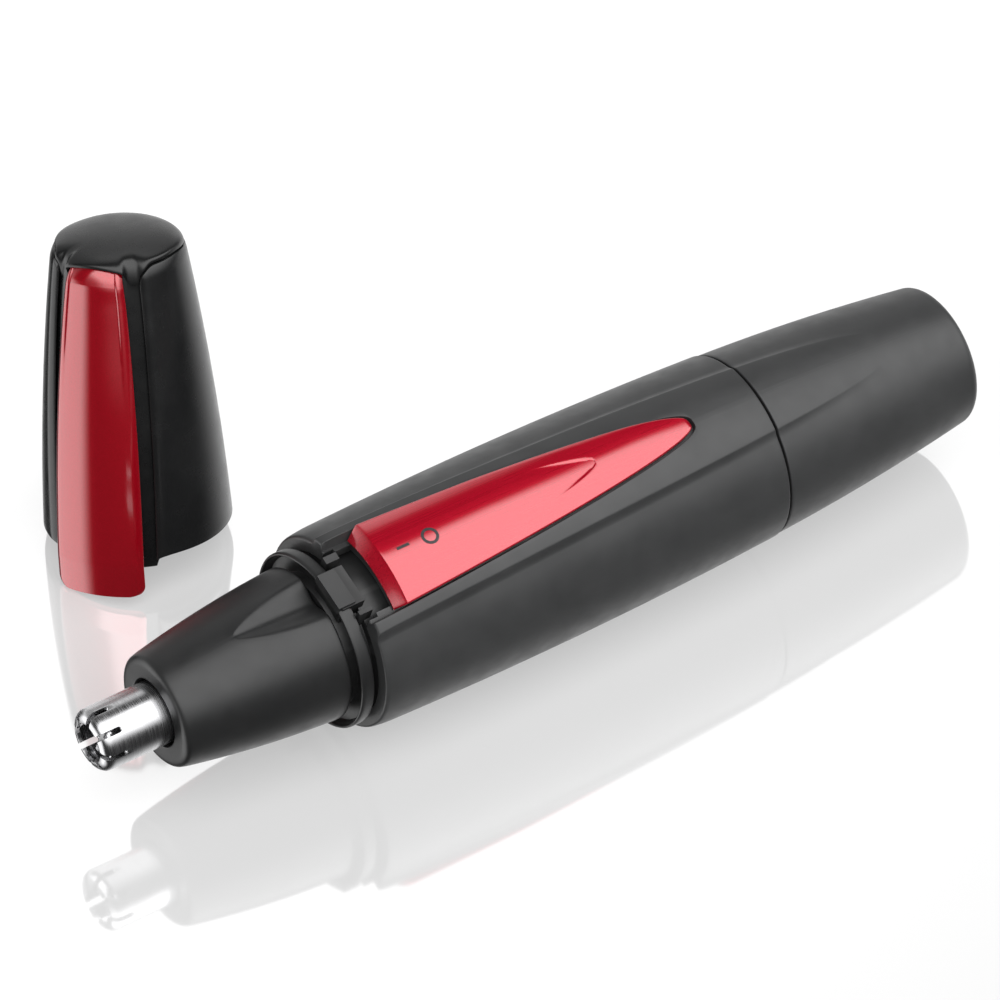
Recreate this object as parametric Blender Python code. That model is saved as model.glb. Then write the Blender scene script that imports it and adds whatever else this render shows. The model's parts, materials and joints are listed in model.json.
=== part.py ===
"""Nose hair trimmer: round battery handle lying on its side, with its protective cap standing beside it.

Each piece is modelled upright in its own frame. Local +Z runs along the piece's axis and local -Y points
at the coloured strip. One empty lays the handle down, and another stands the cap up. All lengths below are
millimetres.
"""

import math

import bpy
import bmesh
from mathutils import Matrix

MM = 0.001
TURN = 2.0 * math.pi

# Placing on the floor, with the origin in the middle of the whole object's footprint
HANDLE_PLACE = (-65.0, -22.78, 13.49)
HANDLE_ROLL = math.radians(21.5)
CAP_PLACE = (-30.72, 19.73, 2.58)
CAP_LEAN = math.radians(13.5)
CAP_LEAN_HEADING = math.radians(23.7)
CAP_STRIP_HEADING = math.radians(-56.0)

# Clearances and walls
GAP = 0.3
SIDE_GAP = 0.35
SHEET_METAL = 0.3

# Stations along the handle, from the cutter's tip to the flat rear end
CONE_FRONT = 9.5
SCOOP_START = 17.5
SPIGOT_FRONT = 28.0
CONE_REAR = 32.0
COLLAR_FRONT = 32.4
HOUSING_FRONT = 35.4
HOUSING_EDGE = 1.6
SEAM = 97.5
SEAM_GAP = 0.2
RIM_START = 128.6
REAR_END = 130.0

# Cutter tube and the blade that turns in it
TUBE_RADIUS = 4.15
TUBE_BORE = 3.65
TUBE_FLANGE = 5.4
TUBE_FLANGE_FRONT = 14.1
TUBE_REAR = 16.0
FINGER_SLOT_WIDTH = 0.76
FINGER_SLOT_REAR = 2.9
FINGER_SLOT_CUTS = 4
BLADE_HUB_RADIUS = 1.5
VANE_LENGTH = 6.6
VANE_THICKNESS = 0.6
SHAFT_RADIUS = 1.0
SHAFT_HEAD_RADIUS = 3.0
FORK_WIDTH = 1.9

# Nose cone and collar
CONE_FRONT_RADIUS = 7.5
CONE_BORE = 4.45
SCOOP_DEPTH = 1.7
SCOOP_TILT = math.radians(7.0)
SPIGOT_RADIUS = 7.4
COLLAR_RADIUS = 11.8
COLLAR_NECK = 9.7
COLLAR_PLUG = 10.7
COLLAR_REAR = 41.5
SCREW_OFFSET = 6.0
SCREW_HOLE = 1.2

# Housing and rear cover
BELLY_RADIUS = 13.49
SEAM_RADIUS = 12.45
HOUSING_BORE = 11.0
BAND_COLUMNS = 9
SIDE_COLUMNS = 29

# The raised lancet band that carries the slider, and the slider's channel in it
BAND_HEIGHT = 0.9
BAND_HALF_WIDTH = 7.5
BAND_TIP = 121.0
BAND_EDGE = 0.9
CHANNEL_FLOOR = 12.6
CHANNEL_CUT_TOP = 18.0
SLIDER_FRONT = 38.85
SLIDER_SLANT = 1.25
SLIDER_FRONT_HEIGHT = 12.95
SLIDER_TIP = 86.5
SLIDER_HALF_WIDTH = 5.95
SLIDER_TOP = 14.9
POST_HALF_WIDTH = 1.0
POST_FRONT = 50.0
POST_REAR = 54.0

# Motor and drive
MOTOR_RADIUS = 10.0
MOTOR_FLAT = 7.5
MOTOR_FRONT = 44.5
MOTOR_REAR = 66.0
ENDCAP_RADIUS = 9.6
ENDCAP_FLAT = 7.2
MOTOR_BORE = 1.3
COUPLING_RADIUS = 2.6
DOG_HALF_WIDTH = 2.1

# Battery cell, size AA, and the chassis that holds it
CELL_FRONT = 72.4
CELL_BODY_FRONT = 73.8
CELL_REAR = 123.0
CELL_RADIUS = 7.25
CELL_CAN_RADIUS = 6.7
CHASSIS_RADIUS = 8.7
CHASSIS_BORE = 7.6
CHASSIS_FLANGE = 10.7

# Cap, measured from its rim
CAP_HEIGHT = 40.7
CAP_RIM_RADIUS = 12.15
CAP_SHOULDER = 37.6
SHELL_TOP = 39.05
SHELL_FOOT = 0.38
CAP_STRIP_TOP = 38.85
CAP_FACET_START = 37.1
TONGUE = 4.35
TONGUE_CORNER = 1.4
SHELL_WALL = 0.65
LINER_WALL = 0.9
CAP_EAR = 36.0
EAR_DROP = 1.45
WINDOW_MARGIN = 1.15

BLACK = ("moulded_black", (0.028, 0.029, 0.030), 0.42, 0.0)
DARK = ("moulded_dark", (0.020, 0.021, 0.022), 0.55, 0.0)
RED = ("red_lacquer", (0.48, 0.004, 0.022), 0.25, 0.35)
STEEL = ("polished_steel", (0.62, 0.62, 0.63), 0.18, 1.0)
SPRING_STEEL = ("spring_steel", (0.52, 0.53, 0.55), 0.28, 1.0)
BRASS = ("plated_brass", (0.72, 0.58, 0.30), 0.30, 1.0)
WHITE = ("moulded_white", (0.72, 0.71, 0.68), 0.50, 0.0)
RUBBER = ("rubber", (0.035, 0.035, 0.036), 0.80, 0.0)
LABEL = ("cell_sleeve", (0.10, 0.16, 0.30), 0.35, 0.2)


def clear_scene():
    for item in list(bpy.data.objects):
        bpy.data.objects.remove(item, do_unlink=True)


def look(spec):
    name, colour, roughness, metallic = spec
    found = bpy.data.materials.get(name)
    if found:
        return found
    made = bpy.data.materials.new(name)
    made.use_nodes = True
    shader = made.node_tree.nodes["Principled BSDF"]
    shader.inputs["Base Color"].default_value = (*colour, 1.0)
    shader.inputs["Roughness"].default_value = roughness
    shader.inputs["Metallic"].default_value = metallic
    return made


def clamp(value):
    return max(0.0, min(1.0, value))


def smooth(value):
    share = clamp(value)
    return share * share * (3.0 - 2.0 * share)


def add_object(name, points, faces, spec, parent):
    """Make an object from points in millimetres, with its faces turned outwards."""
    mesh = bpy.data.meshes.new(name)
    mesh.from_pydata([tuple(value * MM for value in point) for point in points], [], faces)
    shell = bmesh.new()
    shell.from_mesh(mesh)
    bmesh.ops.recalc_face_normals(shell, faces=shell.faces)
    shell.to_mesh(mesh)
    shell.free()
    mesh.shade_smooth()
    mesh.set_sharp_from_angle(angle=math.radians(32.0))
    mesh.materials.append(look(spec))
    made = bpy.data.objects.new(name, mesh)
    bpy.context.collection.objects.link(made)
    made.parent = parent
    return made


def helper(made):
    """Mark an object as a cutter or a joined helper, which is not a piece itself."""
    made.hide_render = True
    made.display_type = "WIRE"
    return made


def combine(target, operation, tools):
    for tool in tools:
        step = target.modifiers.new(operation.lower(), "BOOLEAN")
        step.operation = operation
        step.solver = "EXACT"
        step.object = helper(tool)
    return target


def polar(angle, radius, z):
    return (radius * math.sin(angle), -radius * math.cos(angle), z)


def spread(low, high, count):
    return [low + (high - low) * k / (count - 1) for k in range(count)]


def ring_solid(name, rings, spec, parent, first_pole=None, last_pole=None):
    """Join rings of points. With no poles the last ring joins the first one, which makes a hollow ring."""
    count = len(rings[0])
    points = [point for ring in rings for point in ring]
    faces = []
    pairs = len(rings) if first_pole is None else len(rings) - 1
    for row in range(pairs):
        low = row * count
        high = ((row + 1) % len(rings)) * count
        for col in range(count):
            after = (col + 1) % count
            faces.append((low + col, low + after, high + after, high + col))
    for pole, row in ((first_pole, 0), (last_pole, len(rings) - 1)):
        if pole is not None:
            points.append(pole)
            for col in range(count):
                faces.append((len(points) - 1, row * count + col, row * count + (col + 1) % count))
    return add_object(name, points, faces, spec, parent)


def turned(name, profile, segments, spec, parent):
    """Turn a profile of (z, radius) about Z. One that starts and ends on the axis makes a full solid."""
    angles = [TURN * (k + 0.5) / segments for k in range(segments)]
    solid = profile[0][1] == 0.0
    inner = profile[1:-1] if solid else profile
    rings = [[polar(angle, radius, z) for angle in angles] for z, radius in inner]
    if solid:
        return ring_solid(name, rings, spec, parent, (0, 0, profile[0][0]), (0, 0, profile[-1][0]))
    return ring_solid(name, rings, spec, parent)


def washer(name, low, high, bore, radius, segments, spec, parent):
    profile = [(low, bore), (low, radius), (high, radius), (high, bore)]
    return turned(name, profile, segments, spec, parent)


def rod(name, low, high, radius, segments, spec, parent):
    return turned(name, [(low, 0.0), (low, radius), (high, radius), (high, 0.0)], segments, spec, parent)


def block(name, side, heights, stations, spec, parent):
    """A box. side is its two X limits, heights are measured towards the strip and stations along Z."""
    points = [(x, -h, z) for x in side for h in heights for z in stations]
    faces = [(0, 1, 3, 2), (4, 5, 7, 6), (0, 1, 5, 4), (2, 3, 7, 6), (0, 2, 6, 4), (1, 3, 7, 5)]
    return add_object(name, points, faces, spec, parent)


def sheet(name, rows, columns, outer, inner, spec, parent):
    """A closed curved plate. outer and inner give the point at each row and column value."""
    count = len(columns)
    size = len(rows) * count
    points = [outer(row, col) for row in rows for col in columns]
    points += [inner(row, col) for row in rows for col in columns]
    faces = []
    for row in range(len(rows) - 1):
        for col in range(count - 1):
            at = row * count + col
            faces.append((at, at + 1, at + count + 1, at + count))
            faces.append((size + at, size + at + count, size + at + count + 1, size + at + 1))
    border = list(range(count))
    border += [row * count + count - 1 for row in range(1, len(rows))]
    border += [(len(rows) - 1) * count + col for col in range(count - 2, -1, -1)]
    border += [row * count for row in range(len(rows) - 2, 0, -1)]
    for here, after in zip(border, border[1:] + border[:1]):
        faces.append((here, size + here, size + after, after))
    return add_object(name, points, faces, spec, parent)


def ribbon(name, path, thickness, side, spec, parent):
    """A bent metal strip. path holds (z, height) points, and side holds its two X limits."""
    def left(row, col):
        z, height = path[row]
        return (side[0], -(height + col * thickness), z)

    def right(row, col):
        z, height = path[row]
        return (side[1], -(height + col * thickness), z)

    return sheet(name, range(len(path)), (0, 1), left, right, spec, parent)


def middle(ring):
    return tuple(sum(point[axis] for point in ring) / len(ring) for axis in range(3))


def coil(name, low, high, radii, turns, wire, spec, parent):
    """A round-wire spring. radii are the coil's radii at its low and high end."""
    steps = turns * 10
    sides = 5
    rings = []
    for step in range(steps + 1):
        share = step / steps
        angle = TURN * turns * share
        radius = radii[0] + (radii[1] - radii[0]) * share
        z = low + (high - low) * share
        ring = []
        for side in range(sides):
            lean = TURN * side / sides
            ring.append(polar(angle, radius + wire * math.cos(lean), z + wire * math.sin(lean)))
        rings.append(ring)
    return ring_solid(name, rings, spec, parent, middle(rings[0]), middle(rings[-1]))


def feature_angles(centres, half, inside, outside, edge):
    """Angles of a ring with columns on both edges of each feature, and the share across the feature."""
    found = []
    for place, centre in enumerate(centres):
        found += [(centre + half * share, share) for share in spread(-1.0, 1.0, inside)]
        wrap = TURN if place == len(centres) - 1 else 0.0
        following = centres[(place + 1) % len(centres)] + wrap
        found += [(angle, None) for angle in spread(centre + half + edge, following - half - edge, outside)]
    return found


def side_radius(z):
    """The handle's plain radius: a shallow belly, then a faster taper behind the seam."""
    if z <= HOUSING_FRONT + HOUSING_EDGE:
        share = (HOUSING_FRONT + HOUSING_EDGE - z) / HOUSING_EDGE
        return 13.05 - 0.3 * share * share
    if z < SEAM:
        return BELLY_RADIUS - 0.00068 * (z - 61.0) ** 2
    behind = z - SEAM
    return SEAM_RADIUS - 0.0474 * behind - 0.00148 * behind * behind


def band_half_angle(z):
    """The band keeps its width over the slider and then closes to a point on the rear cover."""
    share = clamp((BAND_TIP - z) / (BAND_TIP - 45.0))
    width = BAND_HALF_WIDTH * math.sin(0.5 * math.pi * share ** 0.62)
    return max(0.4, width) / side_radius(z)


def band_height(z):
    return BAND_HEIGHT * smooth((BAND_TIP - z) / 26.0)


def slider_half_width(z):
    share = clamp((SLIDER_TIP - z) / (SLIDER_TIP - 42.0))
    return SLIDER_HALF_WIDTH * math.sin(0.5 * math.pi * share ** 0.6)


def band_ring(z, inset=0.0, at=None):
    """A ring of the handle's outside. at puts the same outline at another station."""
    radius = side_radius(z) - inset
    ring = []
    edge = BAND_EDGE / radius
    for angle, share in feature_angles([0.0], band_half_angle(z), BAND_COLUMNS, SIDE_COLUMNS, edge):
        rise = 0.0 if share is None else band_height(z)
        ring.append(polar(angle, radius + rise, z if at is None else at))
    return ring


def bore_ring(z, radius, like):
    edge = BAND_EDGE / side_radius(like)
    angles = feature_angles([0.0], band_half_angle(like), BAND_COLUMNS, SIDE_COLUMNS, edge)
    return [polar(angle, radius, z) for angle, _ in angles]


def lancet_plate(name, stations, margin, floor, ceiling, spec, parent):
    """A plate in the slider's outline, grown by margin, from one radius to another."""
    def angle(z, share):
        return share * max(0.25, slider_half_width(z) + margin) / SLIDER_TOP

    def outer(z, share):
        return polar(angle(z, share), ceiling(z, share), z)

    def inner(z, share):
        return polar(angle(z, share), floor, z)

    return sheet(name, stations, spread(-1.0, 1.0, 9), outer, inner, spec, parent)


def make_housing(frame):
    rear = SEAM - SEAM_GAP
    stations = [HOUSING_FRONT, 35.8, HOUSING_FRONT + HOUSING_EDGE, 42, 51, 61, 71, 81, 90, rear]
    rings = [band_ring(z) for z in stations]
    rings += [bore_ring(z, HOUSING_BORE, z) for z in (rear, 71, HOUSING_FRONT)]
    made = ring_solid("front_housing", rings, BLACK, frame)
    ahead = HOUSING_FRONT - 1.0
    through = (9.5, 14.0)
    cut_stations = [ahead - 1.0] + spread(42.0, SLIDER_TIP - 0.6, 12) + [SLIDER_TIP + SIDE_GAP]

    def above_all(z, share):
        return CHANNEL_CUT_TOP

    channel = lancet_plate("channel_cutter", cut_stations, SIDE_GAP, CHANNEL_FLOOR, above_all, DARK, frame)
    notch = block("notch_cutter", (-5.3, 5.3), through, (ahead, 36.7), DARK, frame)
    pocket = block("pocket_cutter", (-4.8, 4.8), through, (ahead, 39.4), DARK, frame)
    slot = block("slot_cutter", (-1.35, 1.35), through, (46.6, 54.4), DARK, frame)
    return combine(made, "DIFFERENCE", [channel, notch, pocket, slot])


def make_collar(frame):
    """The fixed collar: a spigot for the head, a grooved lip, a neck, and a plug screwed to the motor."""
    spigot = [(SPIGOT_FRONT, 5.2), (SPIGOT_FRONT, SPIGOT_RADIUS), (30.2, SPIGOT_RADIUS), (30.2, 6.9)]
    spigot += [(31.6, 6.9), (31.6, SPIGOT_RADIUS), (COLLAR_FRONT, SPIGOT_RADIUS)]
    lip = [(COLLAR_FRONT, 8.8), (33.8, 8.9), (33.8, 11.0), (32.85, 11.27), (32.55, 11.5), (32.75, 11.77)]
    lip += [(33.1, COLLAR_RADIUS), (33.9, COLLAR_RADIUS), (34.4, 11.5)]
    plug = [(34.4, COLLAR_NECK), (35.5, COLLAR_NECK), (35.6, COLLAR_PLUG), (COLLAR_REAR, COLLAR_PLUG)]
    plug += [(COLLAR_REAR, 3.4), (39.5, 3.4), (39.5, 8.0), (36.5, 8.0), (36.5, 5.2)]
    made = turned("collar", spigot + lip + plug, 36, BLACK, frame)
    raised = [
        block("collar_block", (-2.75, 2.75), (8.6, 11.9), (33.0, 36.25), BLACK, frame),
        block("collar_panel", (-2.6, 2.6), (10.9, 12.3), (32.6, 34.9), BLACK, frame),
        block("collar_tooth_far", (-4.6, -3.6), (9.0, 12.0), (34.3, 36.5), BLACK, frame),
        block("collar_tooth_near", (3.7, 4.3), (9.0, 11.8), (34.3, 36.5), BLACK, frame),
    ]
    combine(made, "UNION", raised)
    holes = []
    for number, side in ((1, -1), (2, 1)):
        hole = rod(f"screw_hole_{number}", 38.5, 42.5, SCREW_HOLE, 12, DARK, frame)
        hole.location = (side * SCREW_OFFSET * MM, 0.0, 0.0)
        holes.append(hole)
    return combine(made, "DIFFERENCE", holes)


def make_neck_seal(frame):
    return washer("neck_seal", 30.4, 31.4, 7.05, 7.62, 28, RUBBER, frame)


def make_switch(frame):
    def crown(z, share):
        front = min(1.0, (z - SLIDER_FRONT) / SLIDER_SLANT)
        rear = min(1.0, (SLIDER_TIP - z) / 30.0)
        top = SLIDER_TOP - 0.65 * (1.0 - rear)
        edge = 0.35 if abs(share) > 0.99 else 0.0
        return SLIDER_FRONT_HEIGHT + (top - SLIDER_FRONT_HEIGHT - edge) * front

    stations = [SLIDER_FRONT, SLIDER_FRONT + SLIDER_SLANT] + spread(42.0, SLIDER_TIP - 4.0, 10)
    stations += [SLIDER_TIP - 2.2, SLIDER_TIP - 0.9, SLIDER_TIP]
    slider = lancet_plate("slide_switch", stations, 0.0, CHANNEL_FLOOR + GAP, crown, RED, frame)
    post_side = (-POST_HALF_WIDTH, POST_HALF_WIDTH)
    post = block("switch_post", post_side, (10.5, 13.6), (POST_FRONT, POST_REAR), RED, frame)
    combine(slider, "UNION", [post])
    block("switch_carrier", (-3.2, 3.2), (8.6, 10.2), (47.0, 60.0), DARK, frame)
    block("switch_contact", (-2.0, 2.0), (7.95, 8.3), (48.0, 58.0), BRASS, frame)


def make_contacts(frame):
    ribbon("motor_contact", [(42.6, 8.6), (43.4, 8.1), (44.6, 8.1)], SHEET_METAL, (-1.5, 1.5), BRASS, frame)
    path = [(61.2, 8.0), (69.4, 8.0), (71.4, 9.1), (104.0, 9.1)]
    ribbon("contact_strip", path, SHEET_METAL, (-1.2, 1.2), BRASS, frame)
    washer("front_contact", 71.7, 72.1, 1.0, 4.5, 20, BRASS, frame)


def make_detent(frame):
    """A leaf spring beside the carrier, with one bend that the carrier clicks past."""
    bends = [(46.0, 4.1), (51.0, 4.1), (52.5, 3.7), (54.0, 4.1), (59.0, 4.1)]
    thickness = 0.25

    def leaf(offset):
        def point(row, col):
            z, x = bends[row]
            return (x + offset, -(8.8 + 0.8 * col), z)

        return point

    sheet("detent_spring", range(len(bends)), (0, 1), leaf(thickness), leaf(0.0), SPRING_STEEL, frame)


def make_chassis(frame):
    """The battery tube with its front wall, two flanges that centre it, and a rail under the motor."""
    tube = [(70.2, 2.5), (70.2, CHASSIS_FLANGE), (71.4, CHASSIS_FLANGE), (71.4, CHASSIS_RADIUS)]
    tube += [(94.0, CHASSIS_RADIUS), (94.0, CHASSIS_FLANGE), (96.6, CHASSIS_FLANGE), (96.6, CHASSIS_RADIUS)]
    tube += [(98.3, CHASSIS_RADIUS), (98.3, 9.5), (101.7, 9.5), (101.7, CHASSIS_RADIUS)]
    tube += [(105.0, CHASSIS_RADIUS), (105.0, CHASSIS_BORE), (71.4, CHASSIS_BORE), (71.4, 2.5)]
    made = turned("chassis", tube, 28, WHITE, frame)
    rail = block("chassis_rail", (-4.0, 4.0), (-9.9, -7.95), (44.5, 70.8), WHITE, frame)
    notch = block("strip_notch", (-1.6, 1.6), (7.9, 12.0), (69.0, 73.0), DARK, frame)
    rear_notch = block("flange_notch", (-1.6, 1.6), (8.85, 12.0), (93.0, 103.0), DARK, frame)
    combine(made, "UNION", [rail])
    return combine(made, "DIFFERENCE", [notch, rear_notch])


def flattened_ring(radius, flat, z, segments):
    """A circle cut off by two flats that face the strip and away from it."""
    ring = []
    for k in range(segments):
        x, y, _ = polar(TURN * (k + 0.5) / segments, radius, z)
        ring.append((x, max(-flat, min(flat, y)), z))
    return ring


def flattened_tube(name, radius, flat, low, high, spec, parent):
    segments = 28
    rings = [flattened_ring(radius, flat, z, segments) for z in (low, high)]
    rings += [flattened_ring(MOTOR_BORE, MOTOR_BORE, z, segments) for z in (high, low)]
    return ring_solid(name, rings, spec, parent)


def make_motor(frame):
    can = flattened_tube("motor_can", MOTOR_RADIUS, MOTOR_FLAT, MOTOR_FRONT, MOTOR_REAR, STEEL, frame)
    boss = washer("motor_boss", MOTOR_FRONT - 1.5, MOTOR_FRONT + 1.0, MOTOR_BORE, 3.0, 20, STEEL, frame)
    combine(can, "UNION", [boss])
    flattened_tube("motor_endcap", ENDCAP_RADIUS, ENDCAP_FLAT, MOTOR_REAR + GAP, 69.7, WHITE, frame)
    washer("motor_damper", 41.8, 44.2, 3.4, 4.7, 20, RUBBER, frame)
    for number, side in ((1, -1), (2, 1)):
        profile = [(38.0, 0.0), (38.0, 1.4), (38.4, 1.7), (39.2, 1.7), (39.2, 0.9), (44.2, 0.9), (44.2, 0.0)]
        screw = turned(f"motor_screw_{number}", profile, 12, STEEL, frame)
        screw.location = (side * SCREW_OFFSET * MM, 0.0, 0.0)


def make_drive(frame):
    rod("motor_shaft", 31.6, 69.0, SHAFT_RADIUS, 12, STEEL, frame)
    profile = [(26.4, 0.0), (26.4, COUPLING_RADIUS), (33.0, COUPLING_RADIUS), (33.0, MOTOR_BORE)]
    profile += [(31.3, MOTOR_BORE), (31.3, 0.0)]
    coupling = turned("drive_coupling", profile, 18, WHITE, frame)
    dog = block("drive_dog", (-DOG_HALF_WIDTH, DOG_HALF_WIDTH), (-0.6, 0.6), (22.3, 27.0), WHITE, frame)
    combine(coupling, "UNION", [dog])


def make_cutter(frame):
    nose = [(0.0, 2.7), (0.0, 3.3), (0.3, 3.75), (0.8, 4.05), (1.4, TUBE_RADIUS)]
    body = [(TUBE_FLANGE_FRONT, TUBE_RADIUS), (TUBE_FLANGE_FRONT, TUBE_FLANGE), (TUBE_REAR, TUBE_FLANGE)]
    bore = [(TUBE_REAR, TUBE_BORE), (1.5, TUBE_BORE), (0.9, 3.4), (0.5, 2.7)]
    tube = turned("cutter_tube", nose + body + bore, 32, STEEL, frame)
    half_slot = FINGER_SLOT_WIDTH / 2.0
    cutters = []
    for place in range(FINGER_SLOT_CUTS):
        sides = (-half_slot, half_slot)
        slot = block(f"finger_slot_{place}", sides, (-6.0, 6.0), (-1.0, FINGER_SLOT_REAR), DARK, frame)
        slot.rotation_euler = (0.0, 0.0, math.pi * (place + 0.5) / FINGER_SLOT_CUTS)
        cutters.append(slot)
    combine(tube, "DIFFERENCE", cutters)


def make_blade(frame):
    blade = rod("cutter_blade", 2.4, 8.0, BLADE_HUB_RADIUS, 16, STEEL, frame)
    length = (-VANE_LENGTH / 2.0, VANE_LENGTH / 2.0)
    thickness = (-VANE_THICKNESS / 2.0, VANE_THICKNESS / 2.0)
    stations = (1.9, 6.6)
    vanes = [
        block("blade_vane_a", length, thickness, stations, STEEL, frame),
        block("blade_vane_b", thickness, length, stations, STEEL, frame),
    ]
    combine(blade, "UNION", vanes)
    washer("blade_bush", 8.8, 13.8, MOTOR_BORE, 3.3, 20, WHITE, frame)
    coil("blade_spring", 14.4, 18.9, (2.0, 2.0), 5, 0.22, SPRING_STEEL, frame)
    profile = [(8.3, 0.0), (8.3, SHAFT_RADIUS), (19.5, SHAFT_RADIUS), (19.5, SHAFT_HEAD_RADIUS)]
    profile += [(25.8, SHAFT_HEAD_RADIUS), (25.8, 0.0)]
    shaft = turned("blade_shaft", profile, 18, WHITE, frame)
    fork = block("fork_slot", (-4.0, 4.0), (-FORK_WIDTH / 2.0, FORK_WIDTH / 2.0), (21.8, 27.0), DARK, frame)
    combine(shaft, "DIFFERENCE", [fork])
    washer("blade_retainer", 16.4, 18.4, 2.7, 5.9, 24, WHITE, frame)


def cone_radius(z):
    along = z - 10.0
    return CONE_FRONT_RADIUS + 0.197 * along - 0.00332 * along * along


def cone_ring(z, radius=None):
    """A ring of the nose cone with two finger scoops that widen and deepen towards its rear."""
    share = clamp((z - SCOOP_START) / (CONE_REAR - SCOOP_START))
    half = math.radians(1.5 + 15.5 * math.sin(0.5 * math.pi * share ** 0.8))
    depth = SCOOP_DEPTH * share ** 0.8
    ring = []
    for angle, across in feature_angles([-SCOOP_TILT, math.pi - SCOOP_TILT], half, 7, 11, math.radians(1.0)):
        dip = 0.0 if across is None else depth * (1.0 - across * across)
        ring.append(polar(angle, (cone_radius(z) - dip) if radius is None else radius, z))
    return ring


def make_cone(frame):
    front = ((CONE_FRONT, CONE_BORE), (CONE_FRONT, 6.5), (9.75, 7.05))
    rings = [cone_ring(z, radius) for z, radius in front]
    rings += [cone_ring(10.3, CONE_FRONT_RADIUS)]
    rings += [cone_ring(z) for z in (13.0, SCOOP_START, 19.5, 22.5, 27.0, 31.4)]
    rings += [cone_ring(CONE_REAR, 8.4), cone_ring(CONE_REAR, 7.9), cone_ring(20.0, 7.0)]
    rings += [cone_ring(TUBE_REAR, 6.2), cone_ring(13.8, 5.9), cone_ring(13.8, CONE_BORE)]
    ring_solid("nose_cone", rings, BLACK, frame)


def make_cell(frame):
    pole = [(CELL_FRONT, 0.0), (CELL_FRONT, 2.5), (CELL_FRONT + 0.3, 2.7), (CELL_BODY_FRONT, 2.7)]
    can = [(CELL_BODY_FRONT, 6.3), (74.4, CELL_CAN_RADIUS), (122.6, CELL_CAN_RADIUS), (CELL_REAR, 6.4)]
    turned("battery_cell", pole + can + [(CELL_REAR, 0.0)], 24, STEEL, frame)
    washer("battery_wrapper", 74.6, 122.4, 6.95, CELL_RADIUS, 24, LABEL, frame)


def make_cover(frame):
    front = SEAM + SEAM_GAP
    rolled_rim = ((REAR_END, 1.5), (129.85, 0.9), (129.4, 0.3))
    rings = [band_ring(RIM_START, inset, at) for at, inset in rolled_rim]
    rings += [band_ring(z) for z in (RIM_START, 125, BAND_TIP, 117, 113, 109, 105, 101, front)]
    bores = [(front, 10.75), (103, 10.4), (115, 9.4), (122, 8.7), (128.2, 7.6)]
    rings += [bore_ring(z, radius, z) for z, radius in bores]
    ring_solid("rear_cover", rings, BLACK, frame, (0, 0, REAR_END), (0, 0, 128.2))
    washer("cover_seal", 99.5, 100.6, 9.75, 10.3, 28, RUBBER, frame)
    coil("battery_spring", 123.8, 126.8, (3.0, 5.2), 3, 0.3, SPRING_STEEL, frame)
    washer("spring_plate", 127.4, 127.8, 1.5, 6.0, 20, BRASS, frame)


def cap_radius(z):
    """The cap tapers in a shallow curve and turns in faster above its shoulder."""
    turned_in = max(0.0, z - CAP_SHOULDER) / 1.5
    return CAP_RIM_RADIUS - 0.04 * z - 0.00137 * z * z - 0.35 * turned_in * turned_in


def cap_strip_half_width(z):
    share = clamp((CAP_STRIP_TOP - z) / CAP_STRIP_TOP)
    return 3.95 + 2.45 * math.sin(0.5 * math.pi * share ** 0.8)


def cap_strip_radius(z):
    return cap_radius(max(z, 0.0)) + 0.1 + 1.35 * clamp(1.0 - z / 35.0)


def window_half_angle(z):
    """The opening in the shell leaves a margin beside the strip that widens upwards."""
    return (cap_strip_half_width(z) + WINDOW_MARGIN + clamp(z / 36.0)) / cap_radius(z)


def from_strip(angle):
    """Degrees round the cap from the middle of its strip, 0 to 180."""
    return math.degrees(min(angle, TURN - angle))


def shell_top(angle):
    """The shell's top edge is lower at the back of the cap."""
    return SHELL_TOP - 0.7 * smooth((from_strip(angle) - 80.0) / 50.0)


def shell_foot(angle):
    """The shell's bottom edge dips towards the window."""
    return SHELL_FOOT - 0.75 * math.exp(-max(0.0, from_strip(angle) - CAP_EAR) / 3.5)


def liner_foot(angle):
    """The liner shows just below the shell, and has an ear on each side of the strip."""
    return -EAR_DROP if from_strip(angle) <= CAP_EAR + 0.1 else shell_foot(angle) - SIDE_GAP


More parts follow.
